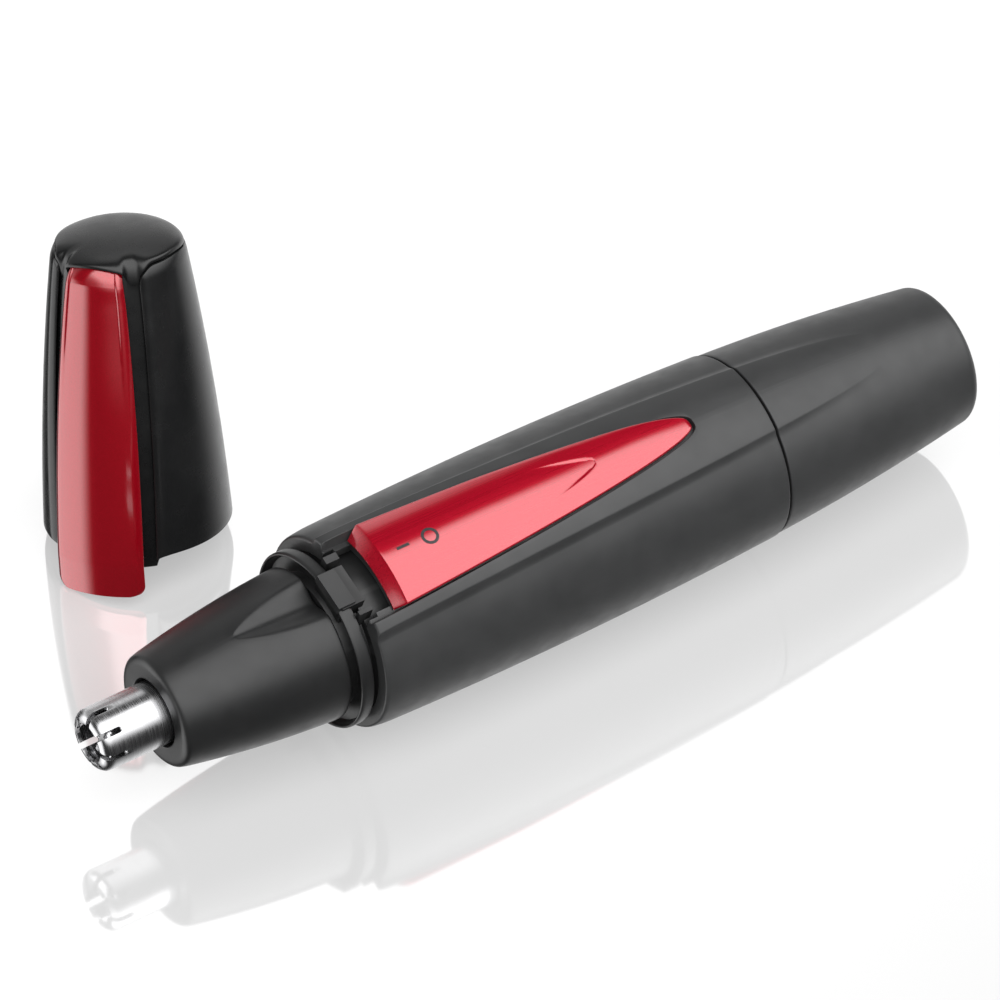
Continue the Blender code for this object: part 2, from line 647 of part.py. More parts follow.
def make_cap_liner(frame):
    """The inner cap: a thin dome that laps over the shell's top, and shows as a sunk band in the window."""
    sink = SHELL_WALL + GAP
    inner = sink + LINER_WALL
    turns = spread(-CAP_EAR, CAP_EAR, 9) + [38.5, 41.0] + spread(46.0, 314.0, 26) + [319.0, 321.5]
    angles = [math.radians(turn) % TURN for turn in turns]

    def rim_of(angle):
        """Height and radius of the dome's lower edge, which is set back beside and over the strip."""
        degrees = from_strip(angle)
        rim = shell_top(angle) + SIDE_GAP
        beside_strip = smooth((degrees - 26.0) / 4.0) * smooth((46.0 - degrees) / 5.0)
        over_strip = 0.4 * (1.0 - smooth((degrees - 26.0) / 4.0))
        return rim, cap_radius(rim) - sink * beside_strip - over_strip

    def dome(share, lift):
        made = []
        for angle in angles:
            rim, radius = rim_of(angle)
            made.append(polar(angle, radius * share, rim + (CAP_HEIGHT - rim) * lift))
        return made

    def skirt(z, inset):
        return [polar(angle, cap_radius(z) - inset, z) for angle in angles]

    def foot(inset):
        return [polar(angle, cap_radius(0.0) - inset, liner_foot(angle)) for angle in angles]

    def under_rim():
        made = []
        for angle in angles:
            rim = rim_of(angle)[0]
            made.append(polar(angle, cap_radius(rim) - sink - 0.02, rim - 0.05))
        return made

    rings = [dome(0.5, 0.9), dome(0.85, 0.6), dome(0.97, 0.3), dome(1.0, 0.0), under_rim()]
    rings += [skirt(z, sink) for z in (37.2, 32.0, 21.0, 10.0, 2.5)]
    rings += [foot(sink), foot(inner)]
    rings += [skirt(z, inner) for z in (2.5, 10.0, 21.0, 32.0)]
    rings += [[polar(angle, 6.4, 37.9) for angle in angles]]
    ring_solid("cap_liner", rings, DARK, frame, (0, 0, CAP_HEIGHT), (0, 0, 38.7))


def make_cap_shell(frame):
    """The outer skirt, open at the strip, with rounded upper corners at the window."""
    corner_width = 1.0
    corner_height = 1.5
    edge = [0.0, 0.018, 0.036]
    columns = edge + spread(0.07, 0.93, 26) + [1.0 - value for value in reversed(edge)]

    def angle_at(z, column):
        half = window_half_angle(z)
        return half + (TURN - 2.0 * half) * column

    def from_edge(column):
        """Distance round the cap from the nearer edge of the window."""
        return (1.0 - abs(2.0 * column - 1.0)) * 0.5 * 57.0

    def place(share, column, inset):
        corner = corner_height * clamp(1.0 - from_edge(column) / corner_width)
        top = shell_top(angle_at(CAP_SHOULDER, column)) - corner
        low = shell_foot(angle_at(0.0, column))
        z = low + (top - low) * share
        return polar(angle_at(z, column), cap_radius(z) - inset, z)

    def outer(share, column):
        return place(share, column, 0.58 * clamp(1.0 - from_edge(column) / 1.5) ** 2)

    def inner(share, column):
        return place(share, column, SHELL_WALL)

    sheet("cap_shell", spread(0.0, 1.0, 7), columns, outer, inner, BLACK, frame)


def make_cap_strip(frame):
    """The coloured strip, whose tongue stands below the cap's rim and seats in front of the slider."""
    def angle(z, share):
        into = clamp((TONGUE_CORNER - TONGUE - z) / TONGUE_CORNER)
        narrowed = TONGUE_CORNER * (1.0 - math.sqrt(1.0 - into * into))
        return share * (cap_strip_half_width(max(z, 0.0)) - narrowed) / cap_strip_radius(z)

    def outer(z, share):
        facet = 0.3 * clamp((z - CAP_FACET_START) / (CAP_STRIP_TOP - CAP_FACET_START))
        edge = 0.3 if abs(share) > 0.99 else 0.0
        return polar(angle(z, share), cap_strip_radius(z) - facet - edge, z)

    def inner(z, share):
        seat = 12.8 if z < 0.01 else cap_radius(z) - SHELL_WALL
        return polar(angle(z, share), seat, z)

    stations = [-TONGUE, 0.3 - TONGUE, 0.8 - TONGUE, TONGUE_CORNER - TONGUE, -1.5, 0.0, 0.3]
    stations += spread(5.0, CAP_FACET_START, 7) + [CAP_STRIP_TOP]
    sheet("cap_strip", stations, spread(-1.0, 1.0, 7), outer, inner, RED, frame)


def make_frames():
    handle = bpy.data.objects.new("handle_frame", None)
    along = Matrix(((0.0, 0.0, 1.0), (-1.0, 0.0, 0.0), (0.0, -1.0, 0.0))).to_4x4()
    roll = Matrix.Rotation(HANDLE_ROLL, 4, "X")
    handle.matrix_world = Matrix.Translation([value * MM for value in HANDLE_PLACE]) @ roll @ along
    cap = bpy.data.objects.new("cap_frame", None)
    lean_axis = (-math.cos(CAP_LEAN_HEADING), math.sin(CAP_LEAN_HEADING), 0.0)
    lean = Matrix.Rotation(CAP_LEAN, 4, lean_axis)
    yaw = Matrix.Rotation(CAP_STRIP_HEADING, 4, "Z")
    cap.matrix_world = Matrix.Translation([value * MM for value in CAP_PLACE]) @ lean @ yaw
    for empty in (handle, cap):
        bpy.context.collection.objects.link(empty)
    return handle, cap


def main():
    clear_scene()
    handle, cap = make_frames()
    make_cutter(handle)
    make_blade(handle)
    make_cone(handle)
    make_collar(handle)
    make_neck_seal(handle)
    make_housing(handle)
    make_switch(handle)
    make_contacts(handle)
    make_detent(handle)
    make_chassis(handle)
    make_motor(handle)
    make_drive(handle)
    make_cell(handle)
    make_cover(handle)
    make_cap_liner(cap)
    make_cap_shell(cap)
    make_cap_strip(cap)


main()
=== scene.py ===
import json
import math

import bmesh
import bpy
from mathutils import Matrix, Vector


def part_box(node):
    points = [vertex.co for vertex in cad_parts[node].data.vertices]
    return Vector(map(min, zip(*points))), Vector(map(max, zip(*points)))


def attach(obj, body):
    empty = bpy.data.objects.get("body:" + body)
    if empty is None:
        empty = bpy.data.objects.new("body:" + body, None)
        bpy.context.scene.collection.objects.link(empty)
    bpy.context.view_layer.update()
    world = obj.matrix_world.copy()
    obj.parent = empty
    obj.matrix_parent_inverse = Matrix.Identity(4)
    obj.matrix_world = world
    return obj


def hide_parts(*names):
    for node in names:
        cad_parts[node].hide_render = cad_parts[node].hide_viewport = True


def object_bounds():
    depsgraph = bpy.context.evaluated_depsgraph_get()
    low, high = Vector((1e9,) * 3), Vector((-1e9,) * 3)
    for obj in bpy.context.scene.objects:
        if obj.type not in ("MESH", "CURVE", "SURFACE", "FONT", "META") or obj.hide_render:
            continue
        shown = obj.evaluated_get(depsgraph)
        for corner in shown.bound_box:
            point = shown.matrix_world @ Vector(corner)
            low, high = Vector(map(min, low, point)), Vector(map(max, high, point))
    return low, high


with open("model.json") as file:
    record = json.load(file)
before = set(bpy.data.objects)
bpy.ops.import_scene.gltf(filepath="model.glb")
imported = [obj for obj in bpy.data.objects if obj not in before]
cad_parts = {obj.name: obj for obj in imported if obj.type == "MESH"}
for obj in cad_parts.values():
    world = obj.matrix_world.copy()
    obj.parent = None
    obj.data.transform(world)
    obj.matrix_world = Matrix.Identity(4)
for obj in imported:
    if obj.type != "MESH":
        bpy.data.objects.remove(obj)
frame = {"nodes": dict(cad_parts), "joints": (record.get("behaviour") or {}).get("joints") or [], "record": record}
CAD_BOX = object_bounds()

MM = 0.001
TURN = 2.0 * math.pi
SHARP_ANGLE = math.radians(38.0)
JOINTS = {joint["name"]: joint for joint in frame["joints"]}

# Where the pieces stand. Lengths in this script are millimetres unless a line says otherwise.
STRIP_ROLL = math.radians(21.5)
CAP_FOOT = (-30.72, 19.73, 2.58)
CAP_STRIP_HEADING = math.radians(-56.0)

# Cutter tube and blade. Stations along the handle count from the tube's tip.
TUBE_RADIUS = 4.15
TUBE_BORE = 3.65
TUBE_NOSE = 1.4
TUBE_FLANGE = 5.4
TUBE_FLANGE_FRONT = 14.1
TUBE_REAR = 16.0
FINGER_SLOT_CUTS = 4
FINGER_SLOT_HALF_WIDTH = 0.38
FINGER_SLOT_REAR = 3.1
VANE_REACH = 3.3
VANE_HALF_THICKNESS = 0.3

# Nose cone and its two finger scoops
CONE_FRONT = 9.5
CONE_REAR = 32.0
CONE_BORE = 4.45
CONE_SIDE_START = 10.0
CONE_SIDE_RADIUS = 7.5
CONE_TAPER = 0.197
CONE_CURVE = 0.00332
SCOOP_START = 20.0
SCOOP_DEPTH = 1.7
SCOOP_TILT = math.radians(-7.0)
SCOOP_FRONT_DEGREES = 2.0
SCOOP_ADDED_DEGREES = 18.0

# Housing and rear cover
HOUSING_FRONT = 35.4
HOUSING_FRONT_RADIUS = 13.05
HOUSING_ROLL = 1.6
HOUSING_BORE = 11.0
BELLY_STATION = 61.0
BELLY_RADIUS = 13.49
BELLY_CURVE = 0.00068
SEAM = 97.5
SEAM_GAP = 0.2
COVER_FRONT_RADIUS = 12.45
COVER_TAPER = 0.0474
COVER_CURVE = 0.00148
COVER_FLOOR = 128.2
RIM_START = 128.6
REAR_END = 130.0

# Raised band, and the slider in its channel
BAND_HEIGHT = 0.9
BAND_HALF_WIDTH = 7.3
BAND_LEAST_HALF_WIDTH = 0.9
BAND_SPAN = 73.0
BAND_RISE_SPAN = 68.0
BAND_TIP = 118.0
BAND_FADE = 1.3
CHANNEL_FLOOR = 12.6
CHANNEL_LIP = 0.07
CHANNEL_GAP = 0.3
SIDE_GAP = 0.35
SLIDER_FRONT = 38.85
SLIDER_SLANT = 1.25
SLIDER_TIP = 87.0
SLIDER_SPAN = 45.0
SLIDER_HALF_WIDTH = 6.35
SLIDER_TOP = 14.9
SLIDER_FLOOR = 12.9
SLIDER_RIM = 0.25
SLIDER_REAR_FALL = 0.65
SLIDER_FALL_SPAN = 30.0
SLIDER_SINK_START = 78.0
SLIDER_FACE_START = 12.95
EMBOSS_TIP = 72.1
EMBOSS_DEPTH = 0.07
MARK_LIFT = 0.03
MARK_ROOT = -0.04
ON_MARK_SIDE = -0.4
ON_MARK_HALF_WIDTH = 0.19
OFF_MARK_SIDE = -0.2
OFF_MARK_STATION = 47.1

# Cell
CELL_FRONT = 72.4
CELL_CAN_RADIUS = 6.7
SLEEVE_RADIUS = 7.25
SLEEVE_BAND = 9.0

# Cap, measured from its rim
CAP_HEIGHT = 40.7
CAP_RIM_RADIUS = 12.15
CAP_TAPER = 0.04
CAP_CURVE = 0.00137
CAP_SHOULDER = 37.6
SHELL_TOP = 39.05
SHELL_FOOT = 0.38
CAP_STRIP_TOP = 39.1
CAP_STRIP_TOP_HALF_WIDTH = 3.95
CAP_STRIP_WIDENING = 2.45
CAP_STRIP_LIFT = 0.1
CAP_STRIP_FLARE = 1.35
CAP_STRIP_FLARE_END = 35.0
CAP_STRIP_RIM = 0.36
CAP_STRIP_ARCH = 0.5
DOME_BASE = 39.0
CAP_FACET_START = 37.1
TONGUE = 4.35
TONGUE_CORNER = 1.4
SHELL_WALL = 0.65
LINER_SINK = 0.95
LINER_WALL = 0.9
WINDOW_MARGIN = 1.15
CORNER_WIDTH = 2.4
CORNER_HEIGHT = 2.6
CAP_EAR_DEGREES = 36.0
EAR_DROP = 1.45
DOME_LAP_DEGREES = 26.0

# Camera: a long lens that looks down at the handle from its front left
CAMERA_HEADING = math.radians(34.8)
CAMERA_ELEVATION = math.radians(41.0)
CAMERA_DISTANCE = 1.02
CAMERA_LENS = 284.4
CAMERA_TARGET = Vector((0.0110, -0.00158, 0.0))

# Table, in metres
TABLE_HALF_WIDTH = 4.0
TABLE_DROP = 0.0001


# ---------------------------------------------------------------- materials

def socket_name(word):
    return word.replace("_", " ").title().replace("Ior", "IOR")


class Look:
    """A Principled material whose colour, gloss and relief vary over the surface."""

    def __init__(self, name, place=None):
        self.turn = (place or Matrix.Identity(4)).to_euler()
        self.material = bpy.data.materials.new(name)
        self.material.use_nodes = True
        self.tree = self.material.node_tree
        self.shader = self.tree.nodes["Principled BSDF"]
        self.place = self.tree.nodes.new("ShaderNodeTexCoord").outputs["Object"]

    def set(self, **values):
        for name, value in values.items():
            self.shader.inputs[socket_name(name)].default_value = value
        return self

    def node(self, kind, **values):
        made = self.tree.nodes.new(kind)
        for name, value in values.items():
            made.inputs[socket_name(name)].default_value = value
        return made

    def link(self, source, target):
        self.tree.links.new(source, target)

    def noise(self, scale, detail=3.0, stretch=(1.0, 1.0, 1.0)):
        """Noise of so many cells a metre, drawn out by stretch along the piece's own axes."""
        mapping = self.tree.nodes.new("ShaderNodeMapping")
        mapping.vector_type = "TEXTURE"
        mapping.inputs["Rotation"].default_value = self.turn
        mapping.inputs["Scale"].default_value = stretch
        self.link(self.place, mapping.inputs["Vector"])
        texture = self.node("ShaderNodeTexNoise", scale=scale, detail=detail)
        self.link(mapping.outputs["Vector"], texture.inputs["Vector"])
        return texture.outputs["Fac"]

    def ranged(self, value, low, high, start=0.3, stop=0.7):
        """value from start to stop becomes low to high."""
        made = self.tree.nodes.new("ShaderNodeMapRange")
        for name, number in (("From Min", start), ("From Max", stop), ("To Min", low), ("To Max", high)):
            made.inputs[name].default_value = number
        self.link(value, made.inputs["Value"])
        return made.outputs["Result"]

    def mixed(self, share, first, second):
        """Two colours, or a colour over an earlier one, mixed by share."""
        made = self.tree.nodes.new("ShaderNodeMix")
        made.data_type = "RGBA"
        self.link(share, made.inputs["Factor"])
        for socket, value in ((made.inputs["A"], first), (made.inputs["B"], second)):
            if isinstance(value, tuple):
                socket.default_value = (*value, 1.0)
            else:
                self.link(value, socket)
        return made.outputs["Result"]

    def colour(self, source):
        self.link(source, self.shader.inputs["Base Color"])
        return self

    def roughness(self, source):
        self.link(source, self.shader.inputs["Roughness"])
        return self

    def relief(self, layers):
        """Bump from (height source, depth in metres) layers, one on top of the other."""
        normal = None
        for source, depth in layers:
            bump = self.node("ShaderNodeBump", distance=depth, strength=1.0)
            self.link(source, bump.inputs["Height"])
            if normal is not None:
                self.link(normal, bump.inputs["Normal"])
            normal = bump.outputs["Normal"]
        self.link(normal, self.shader.inputs["Normal"])
        return self

    def wear_and_highlight_edges(self, start=0.54, stop=0.62):
        """How far an edge stands out, from 0 on flat faces to 1 on sharp edges and creases, which are lightened as
        rubbed wear and as a painted highlight.
        """
        geometry = self.tree.nodes.new("ShaderNodeNewGeometry")
        return self.ranged(geometry.outputs["Pointiness"], 0.0, 1.0, start, stop)


def moulded(name, dark, light, gloss, grain, depth):
    """Satin moulded plastic: an eroded fine grain, clouded gloss, and edges and creases lightened, partly as
    rubbed wear and partly as a painted highlight.
    """
    look = Look(name)
    look.set(ior=1.5)
    clouds = look.noise(140.0)
    body = look.mixed(look.ranged(clouds, 0.0, 1.0), dark, light)
    # Edges and creases get a lighter colour: partly rubbed wear, partly a painted highlight.
    rubbed_and_highlit = tuple(min(1.0, value * 1.7 + 0.01) for value in light)
    look.colour(look.mixed(look.ranged(look.wear_and_highlight_edges(), 0.0, 0.55, 0.0, 1.0), body, rubbed_and_highlit))
    look.roughness(look.ranged(look.noise(420.0, 4.0), gloss - 0.04, gloss + 0.05))
    look.relief([(look.noise(grain, 3.0), depth), (look.noise(60.0, 1.0), depth * 2.0)])
    return look.material


def lacquered(name, deep, bright, brushing, place):
    """Red metallic lacquer: fine flakes and lengthwise brushing of some strength under a clear coat."""
    look = Look(name, place)
    look.set(metallic=0.45, specular_ior_level=0.1, coat_weight=1.0, coat_roughness=0.10, coat_ior=1.85)
    flakes = look.node("ShaderNodeTexVoronoi", scale=9000.0)
    look.link(look.place, flakes.inputs["Vector"])
    sparkle = look.tree.nodes.new("ShaderNodeSeparateColor")
    look.link(flakes.outputs["Color"], sparkle.inputs["Color"])
    base = look.mixed(look.ranged(sparkle.outputs["Red"], 0.0, 1.0, 0.0, 1.0), deep, bright)
    # Edges and creases get a lighter red: partly rubbed wear, partly a painted highlight.
    rubbed_and_highlit = tuple(min(1.0, value * 1.25 + 0.02) for value in bright)
    look.colour(look.mixed(look.ranged(look.wear_and_highlight_edges(0.56, 0.66), 0.0, 0.4, 0.0, 1.0), base, rubbed_and_highlit))
    brushed = look.noise(2600.0, 4.0, (1.0, 1.0, 50.0))
    look.roughness(look.ranged(brushed, 0.29 - 0.05 * brushing, 0.29 + 0.05 * brushing))
    look.relief([(brushed, 0.0000005 * brushing), (look.noise(120.0, 1.0), 0.000004)])
    return look.material


def turned_metal(name, dark, light, gloss, rings, place):
    """Turned metal: fine rings round the axis, with light scratches and a little staining."""
    look = Look(name, place)
    look.set(metallic=1.0)
    stains = look.noise(300.0, 4.0)
    look.colour(look.mixed(look.ranged(stains, 0.0, 1.0), dark, light))
    grooves = look.noise(rings, 2.0, (50.0, 50.0, 1.0))
    look.roughness(look.ranged(grooves, gloss - 0.05, gloss + 0.08))
    look.relief([(grooves, 0.0000015), (look.noise(5000.0, 2.0), 0.0000008)])
    return look.material


def printed(name, colour, gloss):
    """Ink printed on the lacquer, slightly uneven."""
    look = Look(name)
    paler = tuple(value * 1.5 + 0.01 for value in colour)
    look.colour(look.mixed(look.ranged(look.noise(3000.0), 0.0, 1.0), colour, paler))
    look.roughness(look.ranged(look.noise(2500.0), gloss - 0.05, gloss + 0.05))
    look.relief([(look.noise(6000.0), 0.000002)])
    return look.material


def sleeve(name, base, band):
    """The shrunk film round the cell, with one plain lighter band near its front end."""
    look = Look(name)
    look.set(metallic=0.2, coat_weight=0.4, coat_roughness=0.12)
    axis = look.tree.nodes.new("ShaderNodeSeparateXYZ")
    look.link(look.place, axis.inputs["Vector"])
    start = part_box("battery_wrapper")[0].x + SLEEVE_BAND * MM
    edge = look.ranged(axis.outputs["X"], 1.0, 0.0, start, start + 0.3 * MM)
    look.colour(look.mixed(edge, base, band))
    look.roughness(look.ranged(look.noise(500.0), 0.26, 0.38))
    look.relief([(look.noise(350.0, 2.0), 0.00001)])
    return look.material


def make_looks(handle, cap):
    """Every material. Each colour is a pair, from its darker to its lighter patches."""
    satin_grain = (5200.0, 0.0000045)
    fine_grain = (5200.0, 0.0000035)
    black = ((0.026, 0.0265, 0.027), (0.032, 0.0325, 0.033))
    collar = ((0.010, 0.0102, 0.0105), (0.014, 0.0142, 0.0145))
    shell = ((0.007, 0.0072, 0.0075), (0.010, 0.0102, 0.0105))
    dark = ((0.004, 0.0042, 0.0044), (0.006, 0.0062, 0.0064))
    white = ((0.62, 0.61, 0.57), (0.71, 0.70, 0.67))
    rubber = ((0.018, 0.018, 0.018), (0.028, 0.028, 0.029))
    red = ((0.40, 0.0, 0.012), (0.48, 0.0, 0.018))
    cap_red = ((0.31, 0.0, 0.006), (0.37, 0.0, 0.009))
    steel = ((0.50, 0.50, 0.51), (0.60, 0.60, 0.61))
    spring = ((0.44, 0.45, 0.47), (0.58, 0.59, 0.61))
    brass = ((0.62, 0.46, 0.20), (0.78, 0.62, 0.32))
    return {
        "moulded_black": moulded("moulded_black", *black, 0.42, *satin_grain),
        "deep_moulded_black": moulded("deep_moulded_black", *shell, 0.24, *fine_grain),
        "moulded_dark": moulded("moulded_dark", *dark, 0.28, *satin_grain),
        "collar_black": moulded("collar_black", *collar, 0.38, *fine_grain),
        "red_lacquer": lacquered("red_lacquer", *red, 1.0, handle),
        "cap_red_lacquer": lacquered("cap_red_lacquer", *cap_red, 0.15, cap),
        "polished_steel": turned_metal("polished_steel", *steel, 0.25, 9000.0, handle),
        "spring_steel": turned_metal("spring_steel", *spring, 0.26, 6000.0, handle),
        "plated_brass": turned_metal("plated_brass", *brass, 0.28, 4000.0, handle),
        "moulded_white": moulded("moulded_white", *white, 0.46, 4200.0, 0.000004),
        "rubber": moulded("rubber", *rubber, 0.78, 3000.0, 0.00001),
        "cell_sleeve": sleeve("cell_sleeve", (0.05, 0.09, 0.19), (0.52, 0.55, 0.60)),
        "ink": printed("switch_ink", (0.012, 0.010, 0.012), 0.42),
    }


# ---------------------------------------------------------------- mesh helpers

def handle_place():
    """Local +Z runs from the cutter's tip to the rear end, and local -Y points out through the strip."""
    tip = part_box("cutter_tube")[0].x
    _, y, z = JOINTS["head_twist"]["pos_m"]
    along = Matrix(((0.0, 0.0, 1.0), (-1.0, 0.0, 0.0), (0.0, -1.0, 0.0))).to_4x4()
    return Matrix.Translation((tip, y, z)) @ Matrix.Rotation(STRIP_ROLL, 4, "X") @ along


def cap_place():
    """Local +Z runs from the cap's rim to its top, and local -Y points out through its strip."""
    axis = Vector(JOINTS["cap_lift"]["axis"])
    lean = Vector((0.0, 0.0, 1.0)).rotation_difference(axis).to_matrix().to_4x4()
    foot = Matrix.Translation([value * MM for value in CAP_FOOT])
    return foot @ lean @ Matrix.Rotation(CAP_STRIP_HEADING, 4, "Z")


def polar(angle, radius, z):
    return (radius * math.sin(angle), -radius * math.cos(angle), z)


def spread(low, high, count):
    return [low + (high - low) * k / (count - 1) for k in range(count)]


def clamp(value):
    return max(0.0, min(1.0, value))


def smooth(value):
    share = clamp(value)
    return share * share * (3.0 - 2.0 * share)


def add_mesh(name, points, faces, look, place):
    mesh = bpy.data.meshes.new(name)
    mesh.from_pydata([tuple(value * MM for value in point) for point in points], [], faces)
    shell = bmesh.new()
    shell.from_mesh(mesh)
    bmesh.ops.remove_doubles(shell, verts=shell.verts, dist=1e-7)
    bmesh.ops.recalc_face_normals(shell, faces=shell.faces)
    shell.to_mesh(mesh)
    shell.free()
    mesh.materials.append(look)
    made = bpy.data.objects.new(name, mesh)
    bpy.context.scene.collection.objects.link(made)
    made.matrix_world = place
    return made


def ring_solid(name, rings, look, place, first_pole=None, last_pole=None):
    """Join rings of points. With no poles the last ring joins the first one, which makes a hollow ring."""
    count = len(rings[0])
    points = [point for ring in rings for point in ring]
    faces = []
    pairs = len(rings) if first_pole is None else len(rings) - 1
    for row in range(pairs):
        low = row * count
        high = ((row + 1) % len(rings)) * count
        for col in range(count):
            after = (col + 1) % count
            faces.append((low + col, low + after, high + after, high + col))
    for pole, row in ((first_pole, 0), (last_pole, len(rings) - 1)):
        if pole is not None:
            points.append(pole)
            for col in range(count):
                faces.append((len(points) - 1, row * count + col, row * count + (col + 1) % count))
    return add_mesh(name, points, faces, look, place)


def turned(name, profile, segments, look, place):
    """Turn a profile of (z, radius) about Z. One that starts and ends on the axis makes a full solid."""
    angles = [TURN * (k + 0.5) / segments for k in range(segments)]
    solid = profile[0][1] == 0.0
    inner = profile[1:-1] if solid else profile
    rings = [[polar(angle, radius, z) for angle in angles] for z, radius in inner]
    if solid:
        return ring_solid(name, rings, look, place, (0, 0, profile[0][0]), (0, 0, profile[-1][0]))
    return ring_solid(name, rings, look, place)


def block(name, side, heights, stations, look, place):
    """A box. side is its two X limits, heights are measured towards the strip and stations along Z."""
    points = [(x, -h, z) for x in side for h in heights for z in stations]
    faces = [(0, 1, 3, 2), (4, 5, 7, 6), (0, 1, 5, 4), (2, 3, 7, 6), (0, 2, 6, 4), (1, 3, 7, 5)]
    return add_mesh(name, points, faces, look, place)


def plate(name, rows, columns, outer, inner, look, place):
    """A closed curved plate. outer and inner give the point at each row and column value."""
    count = len(columns)
    size = len(rows) * count
    points = [outer(row, col) for row in rows for col in columns]
    points += [inner(row, col) for row in rows for col in columns]
    faces = []
    for row in range(len(rows) - 1):
        for col in range(count - 1):
            at = row * count + col
            faces.append((at, at + 1, at + count + 1, at + count))
            faces.append((size + at, size + at + count, size + at + count + 1, size + at + 1))
    border = list(range(count))
    border += [row * count + count - 1 for row in range(1, len(rows))]
    border += [(len(rows) - 1) * count + col for col in range(count - 2, -1, -1)]
    border += [row * count for row in range(len(rows) - 2, 0, -1)]
    for here, after in zip(border, border[1:] + border[:1]):
        faces.append((here, size + here, size + after, after))
    return add_mesh(name, points, faces, look, place)


def bake(made):
    """Apply an object's modifiers and leave one clean mesh."""
    bpy.context.view_layer.update()
    shown = made.evaluated_get(bpy.context.evaluated_depsgraph_get())
    mesh = bpy.data.meshes.new_from_object(shown)
    made.modifiers.clear()
    made.data = mesh


def combine(made, operation, tools):
    for tool in tools:
        step = made.modifiers.new(operation.lower(), "BOOLEAN")
        step.operation = operation
        step.solver = "EXACT"
        step.object = tool
    bake(made)
    for tool in tools:
        bpy.data.objects.remove(tool, do_unlink=True)


def soften(made, width, segments=2, angle=40.0):
    """Round every edge that is sharper than angle."""
    step = made.modifiers.new("rounded_edges", "BEVEL")
    step.width = width * MM
    step.segments = segments
    step.limit_method = "ANGLE"
    step.angle_limit = math.radians(angle)
    step.use_clamp_overlap = True


def install(made, body, slot, *nodes):
    """Put a finished piece on its body, in place of the CAD nodes it stands for."""
    made.data.shade_smooth()
    made.data.set_sharp_from_angle(angle=SHARP_ANGLE)
    step = made.modifiers.new("face_weighted_normals", "WEIGHTED_NORMAL")
    step.keep_sharp = True
    made.data.transform(made.matrix_world)
    made.matrix_world = Matrix.Identity(4)
    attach(made, body)
    if nodes:
        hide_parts(*nodes)


def quarter(radius, steps):
    """Points (along, inset) of a rounded rim, from its flat end face to its side."""
    return [
        (radius * (1.0 - math.cos(turn)), radius * (1.0 - math.sin(turn)))
        for turn in (0.5 * math.pi * k / steps for k in range(steps + 1))
    ]


# ---------------------------------------------------------------- handle shapes

def side_radius(z):
    """The handle's plain radius: a shallow belly, then a faster taper behind the seam."""
    if z <= HOUSING_FRONT + HOUSING_ROLL:
        share = (HOUSING_FRONT + HOUSING_ROLL - z) / HOUSING_ROLL
        return HOUSING_FRONT_RADIUS - 0.3 * share * share
    if z < SEAM:
        return BELLY_RADIUS - BELLY_CURVE * (z - BELLY_STATION) ** 2
    behind = z - SEAM
    return COVER_FRONT_RADIUS - COVER_TAPER * behind - COVER_CURVE * behind * behind


def band_half_angle(z):
    """The band narrows slowly beside the slider and closes faster on the rear cover."""
    share = max(0.0, BAND_TIP - z) / BAND_SPAN
    return max(BAND_LEAST_HALF_WIDTH, BAND_HALF_WIDTH * share ** 0.3) / side_radius(z)


def band_height(z):
    return BAND_HEIGHT * clamp((BAND_TIP - z) / BAND_RISE_SPAN) ** 0.75


def slider_half_width(z):
    share = max(0.0, SLIDER_TIP - z) / SLIDER_SPAN
    return SLIDER_HALF_WIDTH * share ** 0.43


def channel_half_width(z):
    return slider_half_width(z - SIDE_GAP) + CHANNEL_GAP


def half_section(z):
    """(angle, radius) from the strip's centre to the back, down one side of the handle."""
    radius = side_radius(z)
    rise = band_height(z)
    top = radius + rise
    channel = channel_half_width(z) / SLIDER_TOP
    floor = CHANNEL_FLOOR if z < SLIDER_TIP + SIDE_GAP else top
    crease = band_half_angle(z)
    lip = CHANNEL_LIP
    points = [(channel * share, floor) for share in (0.0, 0.25, 0.5, 0.75, 0.93)]
    wall_top = max(floor, top - lip)
    points += [(channel - 0.02 / radius, floor), (channel - 0.01 / radius, wall_top)]
    points += [(channel + along / radius, max(floor, top - inset)) for along, inset in quarter(lip, 3)[1:]]
    margin = (crease - 0.16 / radius) - (channel + lip / radius)
    points += [(channel + lip / radius + margin * share, top) for share in (0.2, 0.4, 0.6, 0.8, 0.93, 1.0)]
    points.append((crease, top - 0.035 * rise))
    for share in (0.07, 0.15, 0.25, 0.36, 0.48, 0.62, 0.8, 1.0):
        points.append((crease + BAND_FADE * share / radius, radius + rise * (1.0 - share) ** 2))
    last = points[-1][0]
    points += [(last + (math.pi - last) * k / 34.0, radius) for k in range(1, 35)]
    return points


def band_ring(z, inset=0.0, at=None):
    """A whole ring of the handle. at moves the ring along the axis without changing its outline."""
    half = half_section(z)
    whole = half + [(TURN - angle, radius) for angle, radius in reversed(half[1:-1])]
    return [polar(angle, radius - inset, z if at is None else at) for angle, radius in whole]


def bore_ring(z, radius, like):
    half = half_section(like)
    whole = half + [(TURN - angle, 0.0) for angle, _ in reversed(half[1:-1])]
    return [polar(angle, radius, z) for angle, _ in whole]


